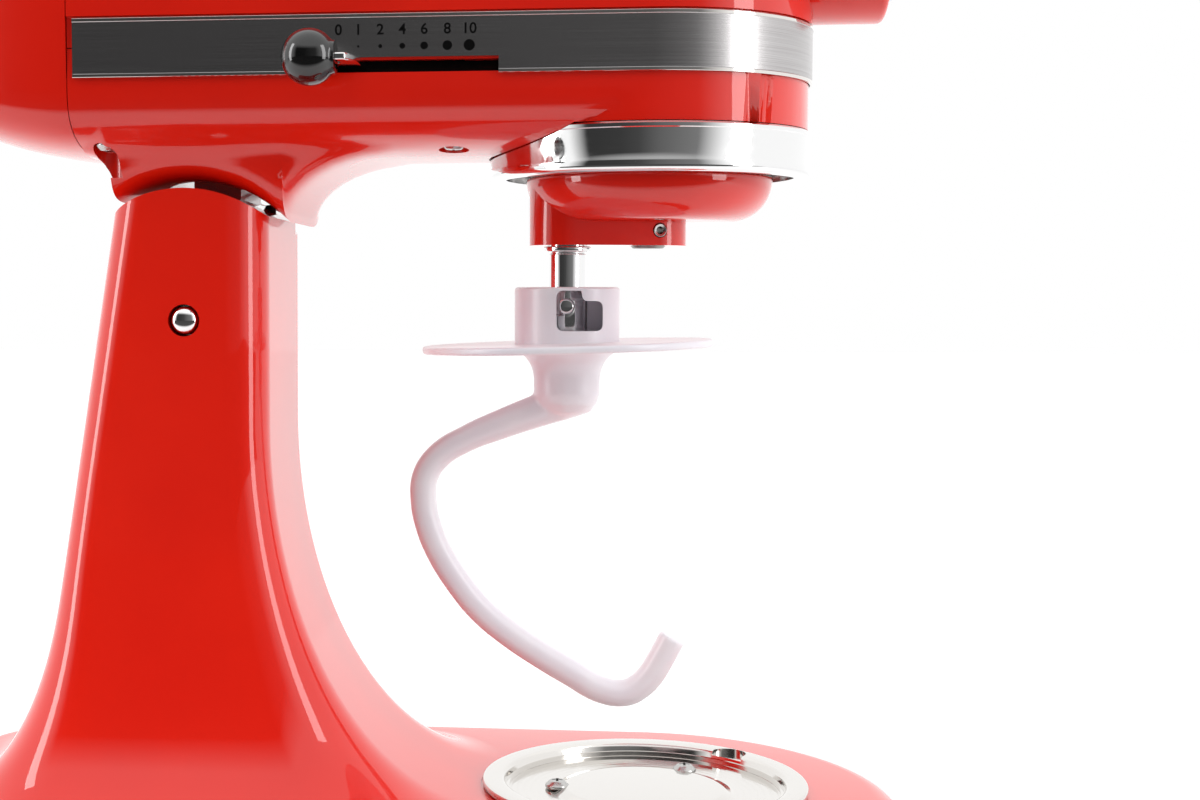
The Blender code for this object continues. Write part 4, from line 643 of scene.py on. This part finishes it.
def dome_ring(radius, height, rear):
    """A level of the dome seen from above, which follows the crown line along the head."""
    sides = [rear * (18 - i) / 18 for i in range(18)]
    ring = [(x, -radius) for x in sides] + arc(0, 0, radius, -90, 90, 56)
    ring += [(x, radius) for x in reversed(sides)]
    return [(x, y, BAND_HIGH + height * (dome_height(x) if height > 0 else 1)) for x, y in ring]


def dome_rings(half, height, rear, steps):
    """The dome's levels, whose cross-section is a superellipse of power 2.7."""
    rings = []
    for i in range(steps):
        turn = math.pi / 2 * i / steps
        across, up = math.cos(turn) ** (2 / 2.7), math.sin(turn) ** (2 / 2.7)
        rings.append(dome_ring(half * across, height * up + 0.01, rear))
    return rings + [dome_ring(half * 0.04, height, rear)]


dome = dome_rings(54, DOME, SEAM, 26)
dome[0] = dome_ring(54, 0.6, SEAM)
dome[:0] = [dome_ring(SIDE, JOINT + 0.15 - BAND_HIGH, SEAM), dome_ring(SIDE, 0.3, SEAM)]
shell = as_object("motor_dome", loft(dome), enamel)
inner = dome_rings(50.5, DOME - 3.5, SEAM - 1, 8)
inner.insert(0, dome_ring(SIDE - 3.5, JOINT - 1 - BAND_HIGH, SEAM - 1))
HUB = (0, 0, 324.0)
KNOB_AT = (62, 0, HUB[2])
barrel = rounded([(0, 27), (25, 27), (25, 77.5), (0, 77.5)], 2.6, 6)
carve(shell, [as_object("cutter", loft(inner), enamel)])
carve(shell, [as_object("cutter", turned(barrel, HUB, "X", 96), enamel)], "UNION")
carve(shell, [
    drill(20, 5, 38, HUB, "X", 48),
    drill(17, 35, 78.5, HUB, "X", 72),
    drill(4.3, 10, 60, KNOB_AT, "Y"),
    bar((71.5, -6.3, 342.5), (80.5, 6.3, 357)),
    drill(5.8, -60, -30, (-157, 0, 308.5), "Y"),
    drill(5.8, 30, 60, (-157, 0, 308.5), "Y"),
])
stand_for(soften(shell, 0.5, 2, 50), "upper_housing")

# ---- Rear cap: a bullet-shaped enamelled cover over the end of the motor, held by one screw, with the hole
# for the supply cord's gland below it. A dark seam parts it from the housings.


def cap_ring(progress, shrink=0.0):
    """The cap's outline at a share of its length."""
    scale = max(fall(progress, 1.8), 0.06) * (1 - shrink)
    top = DOME * dome_height(SEAM)
    x = SEAM - 0.3 - (269 + SEAM - 0.3) * progress
    ring = []
    halves = [(54, BAND_HIGH, top, 2.7), (-SIDE, BAND_LOW, HEAD_FLOOR - BAND_LOW, 3.2)]
    for half, level, rise, power in halves:
        for i in range(41):
            turn = math.pi * i / 40
            across = math.copysign(abs(math.cos(turn)) ** (2 / power), math.cos(turn))
            up = math.sin(turn) ** (2 / power) if 0 < i < 40 else 0
            ring.append((half * across, level + rise * up))
    return [(x, y * scale, MOTOR_AXIS - 2 + (z - MOTOR_AXIS + 2) * scale) for y, z in ring]


cap_stations = [i / 30 for i in range(29)] + [0.95, 0.967, 0.98, 0.99, 1]
cap = as_object("motor_end_cap", loft([cap_ring(t) for t in cap_stations]), enamel)
cap_space = [[(x + 5, y, z) for x, y, z in cap_ring(t, 3.5 / 54)] for t in (0, 0.35, 0.65, 0.85)]
carve(cap, [
    as_object("cutter", loft(cap_space), enamel),
    drill(6.3, -90, 0, (SEAM, 0, 276), "X"),
    drill(2.3, -90, 0, (SEAM, 0, 303), "X"),
    drill(4.6, -90, -78, (SEAM, 0, 303), "X"),
])
stand_for(soften(cap, 0.5, 2, 50), "rear_cap")

cap_screw = as_object("rear_cap_cross_head", turned(rounded([
    (0, -58), (2, -58), (2, -78.3), (4.2, -78.3), (4.2, -79.6), (2.6, -81), (0, -81),
], 0.5), (SEAM, 0, 303), "X", 40), plated)
cross = [bar((SEAM - 82, -a, 303 - b), (SEAM - 79.4, a, 303 + b)) for a, b in RECESS]
stand_for(carve(cap_screw, cross), "rear_cap_screw")
gland_profile = rounded([(3.2, -46), (6, -46), (6, -66), (5.4, -71), (4.6, -73), (3.2, -73)], 0.5)
gland = as_object("supply_cord_gland", turned(gland_profile, (SEAM, 0, 276), "X", 48, True), rubber)
stand_for(gland, "cord_gland")

# ---- Trim band: a strip of stainless steel, brushed along its length between two polished raised borders. It
# is bent round the sides and the nose, and notched below for the speed lever.
brushed, brushed_tree, brushed_shader = surface("brushed_stainless_band", {
    "Base Color": linear("#B4B2B2"), "Metallic": 1.0, "Roughness": 0.22, "Anisotropic": 0.5,
})
brushed_uv = add(brushed_tree, "UVMap", uv_map="along_band").outputs[0]
brush_way = add(brushed_tree, "Tangent", direction_type="UV_MAP", uv_map="along_band")
brushed_tree.links.new(brush_way.outputs[0], brushed_shader.inputs["Tangent"])
# Brush lines 0.05 mm apart and 40 mm long are drawn 0.25 mm apart.
lines = add(brushed_tree, "TexNoise", {
    "Vector": add(brushed_tree, "Mapping", {"Vector": brushed_uv, "Scale": (1 / 60, 1 / 0.2, 1)}).outputs[0],
    "Scale": 1.0, "Detail": 4.0,
})
tint(brushed_tree, brushed_shader, lines, 0.3, "#A5A2A2", 0.7, "#BDBBBB")
dent(brushed_tree, brushed_shader, lines, 0.04, 0.0001)

section = [
    (53.3, 278.0), (54.15, 278.0), (54.3, 278.15), (54.3, 279.0), (54.1, 279.2), (54.1, 295.6), (54.3, 295.8),
    (54.3, 296.7), (54.15, 296.85), (53.3, 296.85),
]
straight = (-185, -140, -95, -48, -20)
rings = [[(x, -r, z) for r, z in section] for x in straight]
for i in range(97):
    a = math.radians(-90 + 180 * i / 96)
    rings.append([(r * math.cos(a), r * math.sin(a), z) for r, z in section])
rings += [[(x, r, z) for r, z in section] for x in reversed(straight)]
band = as_object("side_trim_band", loft(rings), brushed, 20)
carve(band, [bar((-99.6, -60, 276), (-48.0, -48, 283.2))])
grooves = band.data.uv_layers.new(name="along_band")
for loop in band.data.loops:
    x, y, z = band.data.vertices[loop.vertex_index].co * 1000
    x -= BOWL_AXIS * 1000
    along = 54.2 * math.atan2(y, x) if x > 0 else math.copysign(54.2 * math.pi / 2 - x, y)
    grooves.data[loop.index].uv = (along, z)
BORDERS = (279.1, 295.7)
band.data.materials.append(polished)
for face in band.data.polygons:
    if not BORDERS[0] <= face.center.z * 1000 <= BORDERS[1]:
        face.material_index = 1
stand_for(band, "trim_band")

# ---- Speed scale: numbers and growing dots in black ink, screen-printed on the band above the lever's slot.
# The ink is flat, a few hundredths of a millimetre thick.
ink, ink_tree, ink_shader = surface("printed_black_ink", {
    "Base Color": linear("#050505"), "Roughness": 0.6, "Specular IOR Level": 0.1,
})
haze(ink_tree, ink_shader, noise(ink_tree, 0.3, 2.0), 0.4, 0.6)
# Each speed has a figure, a place along the head and the radius of its dot.
SPEEDS = [
    ("0", -98.6, 0), ("1", -92.3, 0.35), ("2", -85.3, 0.6), ("4", -78.3, 0.9), ("6", -71.4, 1.2),
    ("8", -64.1, 1.5), ("10", -57.2, 1.75),
]
scale_mesh = bmesh.new()
for figure, x, dot in SPEEDS:
    letters = bpy.data.curves.new("figure", "FONT")
    letters.body, letters.size, letters.align_x, letters.align_y = figure, 0.0047, "CENTER", "CENTER"
    letters.extrude, letters.offset = 0.00003, 0.00007
    drawn = bpy.data.objects.new("figure", letters)
    bpy.context.scene.collection.objects.link(drawn)
    bpy.context.view_layer.update()
    flat = bpy.data.meshes.new_from_object(drawn.evaluated_get(bpy.context.evaluated_depsgraph_get()))
    flat.transform(Matrix.Translation(metres((x, -54.13, 291.7))) @ Matrix.Rotation(math.pi / 2, 4, "X"))
    scale_mesh.from_mesh(flat)
    bpy.data.objects.remove(drawn)
    bpy.data.meshes.remove(flat)
    if dot:
        disc = turned([(0, -54.16), (dot, -54.16), (dot, -54.0), (0, -54.0)], (x, 0, 286.6), "Y", 32)
        flat = bpy.data.meshes.new("dot")
        disc.to_mesh(flat)
        disc.free()
        scale_mesh.from_mesh(flat)
        bpy.data.meshes.remove(flat)
fasten(as_object("speed_scale_print", scale_mesh, ink), "head", "black_plastic")

# ---- Drip ring: a spun stainless cup wall pressed into the housing round the planetary. Polished, with a
# rolled lower lip and a fine line at the top.
ring_profile = [
    (53.2, 262.6), (54, 262.0), (54, 260.9), (53.7, 260.6), (53.7, 251.2), (54, 250.6), (54, 249.4),
]
lip_turns = [math.radians(a) for a in range(0, -91, -10)]
ring_profile += [(51.9 + 2.1 * math.cos(turn), 249.0 + 2.0 * math.sin(turn)) for turn in lip_turns]
ring_profile += [(49.2, 247.0), (48.5, 247.7), (48.5, 262.0), (49.0, 262.6)]
stand_for(as_object("spun_drip_ring", turned(ring_profile, steps=192, closed=True), chrome), "drip_ring")

# ---- Planetary: an enamelled alloy casting, a disc whose lower edge is a deep fillet, with an arm that holds
# the beater shaft. A steel roll pin fixes it on the centre shaft.
PLANET = math.radians(197)
BEATER = (28.5 * math.cos(PLANET), 28.5 * math.sin(PLANET))
fillet_turns = [math.radians(a) for a in range(0, 91, 6)]
disc_profile = [(27.5 + 14 * math.sin(turn), 247 - 14 * math.cos(turn)) for turn in fillet_turns]
disc_profile = [(0, 233)] + disc_profile + [(41.5, 247.4), (41.0, 248), (0, 248)]
carrier = as_object("planetary_casting", turned(disc_profile, steps=160), enamel)
stadium = arc(28.5, 0, 12.8, -90, 90, 40) + arc(0, 0, 12.8, 90, 270, 40)
cosine, sine = math.cos(PLANET), math.sin(PLANET)
stadium = [(x * cosine - y * sine, x * sine + y * cosine) for x, y in stadium]
carve(carrier, [slab(stadium, 225, 247, "Z")], "UNION")
pin_direction = Matrix.Translation(Vector((BOWL_AXIS, 0, 0.230))) @ Matrix.Rotation(PLANET, 4, "Z")
pin_direction = pin_direction @ Matrix.Rotation(-math.pi / 2, 4, "X")
cross_bore = bmesh.new()
bmesh.ops.create_cone(cross_bore, segments=32, radius1=0.0025, radius2=0.0025, depth=0.04, cap_ends=True)
bmesh.ops.transform(cross_bore, matrix=pin_direction, verts=cross_bore.verts)
carve(carrier, [
    drill(6.3, 220, 255, steps=48), drill(6.65, 220, 255, (*BEATER, 0), steps=48),
    as_object("cutter", cross_bore, enamel),
])
stand_for(soften(carrier, 0.9, 3, 50), "planetary")
roll = bmesh.new()
wall = [
    (0.0013, -0.0128), (0.0020, -0.0131), (0.0022, -0.0129), (0.0022, 0.0129), (0.0020, 0.0131),
    (0.0013, 0.0128),
]
roll_vertices = [roll.verts.new((r, 0, h)) for r, h in wall]
roll_edges = [roll.edges.new(pair) for pair in zip(roll_vertices, roll_vertices[1:] + roll_vertices[:1])]
bmesh.ops.spin(roll, geom=roll_vertices + roll_edges, cent=(0, 0, 0), axis=(0, 0, 1), angle=2 * math.pi,
               steps=32, use_merge=True)
bmesh.ops.transform(roll, matrix=pin_direction, verts=roll.verts)
stand_for(as_object("rolled_spring_pin", roll, plated), "roll_pin")

# ---- Beater shaft: ground and chromed steel, with a washer under the arm and a cross pin that the beater's
# window locks on. The hook's collar slides up over it.
machined, machined_tree, machined_shader = surface("machined_steel", {
    "Base Color": linear("#8F8E8C"), "Metallic": 1.0, "Roughness": 0.32,
})
# Cutter marks of 0.1 mm are drawn 0.8 mm apart.
cutter_marks = noise(machined_tree, 2.5, 3.0, (0.3, 0.3, 4))
haze(machined_tree, machined_shader, cutter_marks, 0.22, 0.42)
tint(machined_tree, machined_shader, cutter_marks, 0.0, "#7B7873", 1.0, "#A3A2A0")
shaft_profile = rounded([
    (0, 194), (6.35, 194), (6.35, 222), (6.1, 222.3), (6.1, 222.8), (6.35, 223), (6.35, 249.5), (5, 249.5),
    (5, 261.6), (0, 261.6),
], 0.8)
shaft = as_object("beater_drive_shaft", turned(shaft_profile, (*BEATER, 0), "Z", 72), chrome)
PIN_Z = 204.6
carve(shaft, [drill(2.7, -9, 9, (*BEATER, PIN_Z), "Y")])
stand_for(shaft, "beater_shaft")
pin_ends = rounded([(0, -13.5), (2.6, -13.5), (2.6, 13.5), (0, 13.5)], 0.9)
stand_for(as_object("beater_cross_pin", turned(pin_ends, (*BEATER, PIN_Z), "Y", 48), chrome), "cross_pin")
washer = rounded([(6.65, 224.7), (8, 224.7), (8, 223), (6.65, 223)], 0.4)
washer = as_object("beater_shaft_washer", turned(washer, (*BEATER, 0), "Z", 64, True), chrome)
stand_for(washer, "shaft_washer")

# ---- Dough hook: an aluminium casting with a baked white coating. A socket collar with a J-shaped window
# locks on the cross pin, a disc keeps dough off the shaft, and the bar sweeps down into a C.
coating, coating_tree, coating_shader = surface("baked_white_coating", {
    "Base Color": linear("#E4E0E6"), "Roughness": 0.34, "Coat Weight": 0.25, "Coat Roughness": 0.2,
})
tint(coating_tree, coating_shader, noise(coating_tree, 25, 2.0), 0.3, "#DFDAE2", 0.75, "#E8E5E9")
dent(coating_tree, coating_shader, noise(coating_tree, 1.6, 2.0), 0.12, 0.0002)

# The middle of the bar, from inside the stem to the tip, as reach ahead of the shaft and height.
ROUTE = [
    (6, 175), (1.3, 172.9), (-10, 168.9), (-22.5, 164.2), (-34, 159.3), (-43.1, 153.7), (-48.2, 146.5),
    (-48.9, 138.0), (-47, 128.5), (-43.0, 119.1), (-36.8, 109.4), (-29.2, 100.2), (-19.5, 92.2), (-8.5, 85.0),
    (2.5, 78.6), (12.1, 73.4), (20.6, 72.5), (25.5, 75.1), (29.1, 78.9), (32.8, 85.2), (36.4, 92.2),
]
bar_curve = bpy.data.curves.new("hook_bar", "CURVE")
bar_curve.dimensions, bar_curve.bevel_depth, bar_curve.bevel_resolution = "3D", 0.00465, 8
bar_curve.use_fill_caps, bar_curve.resolution_u = True, 6
spline = bar_curve.splines.new("BEZIER")
spline.bezier_points.add(len(ROUTE) - 1)
for i, (point, (x, z)) in enumerate(zip(spline.bezier_points, ROUTE)):
    point.co = metres((BEATER[0] + x, BEATER[1], z))
    point.handle_left_type = point.handle_right_type = "AUTO"
    point.radius = 1 + 0.45 * max(0, 1 - i / 4)
bar_object = bpy.data.objects.new("hook_bar", bar_curve)
bpy.context.scene.collection.objects.link(bar_object)
bpy.context.view_layer.update()
bar_mesh = bpy.data.meshes.new_from_object(bar_object.evaluated_get(bpy.context.evaluated_depsgraph_get()))
bpy.data.objects.remove(bar_object)
blend_mesh = bmesh.new()
blend_mesh.from_mesh(bar_mesh)
bpy.data.meshes.remove(bar_mesh)
stem_profile = [(0, 166.8), (4, 167.2), (7.6, 168.8), (10.2, 171.6), (11.2, 175), (11.2, 180)]
flare_turns = [math.radians(a) for a in range(15, 91, 15)]
stem_profile += [(11.2 + 10 * (1 - math.cos(turn)), 180 + 10.4 * math.sin(turn)) for turn in flare_turns]
stem_profile += [(0, 190.4)]
stem_mesh = turned(stem_profile, (*BEATER, 0), "Z", 64)
stem_data = bpy.data.meshes.new("stem")
stem_mesh.to_mesh(stem_data)
stem_mesh.free()
blend_mesh.from_mesh(stem_data)
hook = as_object("dough_hook_casting", blend_mesh, coating)
knit = hook.modifiers.new("knit", "REMESH")
knit.mode, knit.voxel_size = "VOXEL", 0.00065
even = hook.modifiers.new("even", "SMOOTH")
even.factor, even.iterations = 0.5, 14
bpy.context.view_layer.update()
hook.data = bpy.data.meshes.new_from_object(hook.evaluated_get(bpy.context.evaluated_depsgraph_get()))
hook.modifiers.clear()
guard_at = metres((*BEATER, 191))
tilt = Matrix.Rotation(math.radians(-1.7), 4, "Y")
tilt = Matrix.Translation(guard_at) @ tilt @ Matrix.Translation(-guard_at)
guard = turned(rounded([(0, 189.7), (49, 189.7), (49, 192.3), (0, 192.3)], 1.1, 5), (*BEATER, 0), "Z", 160)
bmesh.ops.transform(guard, matrix=tilt, verts=guard.verts)
collar = turned(rounded([(0, 190), (17.7, 190), (17.7, 211), (0, 211)], 1.2, 5), (*BEATER, 0), "Z", 112)
carve(hook, [as_object("cutter", guard, coating), as_object("cutter", collar, coating)], "UNION")
SLOT_HALF = 3.2
COLLAR_REACH = BEATER[1] + 14.3
APART = 0.03  # keeps the cutters' faces out of each other's planes
window = [(BEATER[0] + x, z) for x, z in rounded([
    (4, 209.8), (-3.2, 209.8), (-3.2, 196.4), (12.1, 196.4), (12.1, 206.4), (5.6, 206.4), (5.0, 209.8),
    (4, 209.8),
], 2.4, 5)][:-1]
socket = drill(6.65, 193, 212, (*BEATER, 0), steps=64)
carve(socket, [
    bar((BEATER[0] - SLOT_HALF - 6, BEATER[1] - 14.3, PIN_Z - SLOT_HALF),
        (BEATER[0] - SLOT_HALF + 1, COLLAR_REACH, 213)),
    slab(window, BEATER[1] - 18.7, BEATER[1] - APART),
    bar((BEATER[0] - SLOT_HALF - 1, BEATER[1] - 1, PIN_Z - SLOT_HALF + APART),
        (BEATER[0] + SLOT_HALF, COLLAR_REACH - APART, PIN_Z + SLOT_HALF)),
], "UNION")
carve(hook, [socket])
stand_for(hook, "dough_hook")

# ---- Speed control: a flat chromed arm slides in the slot of the housing. A ball knob of black phenolic,
# turned and buffed, is pressed on its end, and a rod inside joins it to the motor's control.
phenolic, phenolic_tree, phenolic_shader = surface("buffed_black_phenolic", {
    "Base Color": linear("#0B0B0B"), "Roughness": 0.08, "Coat Weight": 0.5, "Coat Roughness": 0.04,
})
haze(phenolic_tree, phenolic_shader, noise(phenolic_tree, 7, 3.0), 0.05, 0.16)
knob_at = (-104.8, -73, 281)
ball_turns = [math.radians(a) for a in range(0, 142, 5)]
ball = [(8.8 * math.sin(turn), -8.8 * math.cos(turn)) for turn in ball_turns]
ball += [(5.1, 7.4), (5.0, 8.0), (4.6, 8.2), (0, 8.2)]
knob = as_object("speed_ball_knob", turned(ball, knob_at, "X", 96), phenolic)
carve(knob, [bar((-104.9, -75.7, 279.6), (-94, -70.3, 282.4))])
stand_for(knob, "speed_knob")
blade = [
    (-98.6, -45.9), (-98.6, -61.0), (-96.6, -66.2), (-96.3, -70.6), (-104.6, -70.6), (-104.6, -75.4),
    (-93.6, -75.4), (-91.6, -70.6), (-90.8, -66.0), (-90.4, -45.9),
]
arm = slab(blade, 279.9, 282.1, "Z", "speed_lever_arm", chrome)
stand_for(soften(arm, 0.5, 3, 40), "speed_lever")

# ---- Head lock: a black-oxide steel shaft with a half-round latch, turned by a lever with a black grip
# whose end swells to a ball. The latch hooks under the lip of the saddle.
blackened, blackened_tree, blackened_shader = surface("black_oxide_steel", {
    "Base Color": linear("#0E0D0C"), "Metallic": 0.6, "Roughness": 0.45,
})
end = (latch_x + 20, latch_z - 12)
plate_outline = arc(latch_x, latch_z, 6.5, 60, 240, 32) + arc(*end, 4.5, 240, 420, 24)
lever = slab(plate_outline, 42.6, 45.6, name="head_lock_lever", material=phenolic)
grip_profile = rounded([(0, 44), (4.2, 44), (5.5, 48), (6.5, 58), (5, 61), (0, 61)], 1.6, 5)
carve(lever, [as_object("cutter", turned(grip_profile, (end[0], 0, end[1]), "Y", 64), phenolic)], "UNION")
carve(lever, [drill(3.3, 35, 80, (latch_x, 0, latch_z), "Y")])
stand_for(soften(lever, 0.5), "lock_lever")
rod_profile = rounded([(0, 24), (3, 24), (3, 46), (0, 46)], 0.6)
lock_rod = as_object("head_lock_shaft", turned(rod_profile, (latch_x, 0, latch_z), "Y", 48), blackened)
half_round = arc(latch_x, latch_z, 8.5, 47, 137, 24) + [(latch_x - 1, latch_z - 1)]
carve(lock_rod, [slab(half_round, 24.4, 32.6)], "UNION")
stand_for(soften(lock_rod, 0.4), "lock_shaft")

# ---- Hub cover and knob: a chromed disc hangs from an ear and covers the socket for attachments. A fluted
# black knob on the far side screws in to clamp an attachment's shank.
cover_profile = rounded([
    (0, 77.8), (20.2, 77.8), (20.2, 79.6), (17.6, 80.7), (15.4, 80.2), (0, 80.2),
], 0.7, 4)
cover = as_object("hub_cover_disc", turned(cover_profile, HUB, "X", 96), chrome)
carve(cover, [bar((77.8, -5, 341.2), (80.3, 5, 348.8))], "UNION")
stand_for(soften(cover, 0.4, 2, 60), "hub_cover")
clamp_profile = rounded([
    (0, 18), (4, 18), (4, 29), (7, 29), (12, 32), (12, 44), (10, 46), (3.4, 46), (2.6, 45.2), (0, 45.2),
], 1.0)
clamp_knob = as_object("attachment_clamp_knob", turned(clamp_profile, KNOB_AT, "Y", 96), phenolic)
flutes = []
for x, z in arc(KNOB_AT[0], KNOB_AT[2], 13.6, 0, 300, 5):
    flutes.append(drill(3, 30, 49, (x, 0, z), "Y"))
carve(clamp_knob, flutes)
stand_for(soften(clamp_knob, 0.5), "attachment_knob")

# ---- Inside the head: motor, shafts and gear train, which show only with the covers off. Cut steel gears, a
# moulded nylon worm wheel, cast brackets, a bronze bush and a stack of sheet steel keep their sharp outlines,
# with their edges broken as a cutter or a mould leaves them.
nylon, nylon_tree, nylon_shader = surface("moulded_nylon", {
    "Base Color": linear("#E5DCC4"), "Roughness": 0.5,
})
bronze, bronze_tree, bronze_shader = surface("sintered_bronze", {
    "Base Color": linear("#A9793F"), "Metallic": 1.0, "Roughness": 0.4,
})
alloy, alloy_tree, alloy_shader = surface("cast_aluminium", {
    "Base Color": linear("#B4B4B2"), "Metallic": 1.0, "Roughness": 0.5,
})
laminated, laminated_tree, laminated_shader = surface("stacked_sheet_steel", {
    "Base Color": linear("#4A4A4C"), "Metallic": 1.0, "Roughness": 0.45,
})
for tree, shader, grain_mm, dark, light in [
    (blackened_tree, blackened_shader, 2.0, "#0B0A09", "#141312"),
    (nylon_tree, nylon_shader, 3.0, "#DCD1B4", "#EAE2CD"),
    (bronze_tree, bronze_shader, 0.6, "#8F6230", "#B98A4E"),
    (alloy_tree, alloy_shader, 1.2, "#9C9C9A", "#C2C2C0"),
]:
    mottle = noise(tree, grain_mm, 3.0)
    tint(tree, shader, mottle, 0.3, dark, 0.7, light)
    dent(tree, shader, mottle, 0.2, 0.0002)
# Sheets 0.5 mm thick are drawn 2 mm thick, so that they show.
stack = add(laminated_tree, "TexWave", {
    "Vector": add(laminated_tree, "TexCoord").outputs["Object"], "Scale": 1000 / 2 / 6.28, "Distortion": 0.1,
}, wave_type="BANDS", bands_direction="X")
dent(laminated_tree, laminated_shader, stack, 0.4, 0.0003)


def finished_copy(node, name, material, edge):
    """A CAD solid's own shape, its facets merged, its sharp edges broken by a width in millimetres."""
    mesh_data = bmesh.new()
    mesh_data.from_mesh(frame["nodes"][node].data)
    bmesh.ops.remove_doubles(mesh_data, verts=mesh_data.verts, dist=1e-6)
    bmesh.ops.dissolve_limit(
        mesh_data, angle_limit=math.radians(0.5), verts=mesh_data.verts, edges=mesh_data.edges,
    )
    return stand_for(soften(as_object(name, mesh_data, material, 35), edge, 2, 40), node)


for node, name, material, edge in [
    ("internal_gear", "fixed_internal_gear", machined, 0.15),
    ("stator", "motor_stator", laminated, 0.6), ("front_bearing", "front_ball_bearing", machined, 0.4),
    ("rear_bearing", "rear_ball_bearing", machined, 0.4),
    ("front_bracket", "front_motor_bracket", alloy, 0.4),
    ("rear_bracket", "rear_motor_bracket", alloy, 0.4),
    ("brush_cap_1", "brush_cap_near", phenolic, 0.4), ("brush_cap_2", "brush_cap_far", phenolic, 0.4),
    ("hub_bush", "hub_bearing_bush", bronze, 0.4), ("armature", "wound_armature", machined, 0.2),
    ("cooling_fan", "moulded_fan", phenolic, 0.3), ("hub_drive_gear", "hub_bevel_gear", machined, 0.15),
    ("drive_pinion", "worm_shaft_pinion", machined, 0.15),
    ("worm_wheel", "nylon_worm_wheel", nylon, 0.15),
    ("centre_shaft", "planetary_centre_shaft", machined, 0.3),
    ("centre_gear", "centre_spur_gear", machined, 0.15),
    ("centre_bevel_gear", "centre_bevel", machined, 0.15),
    ("beater_pinion", "beater_spur_pinion", machined, 0.15),
    ("speed_link", "speed_link_rod", blackened, 0.3),
    ("hinge_set_screw", "hinge_grub_screw", plated, 0.3),
    ("height_screw", "head_height_screw", blackened, 0.3),
]:
    finished_copy(node, name, material, edge)
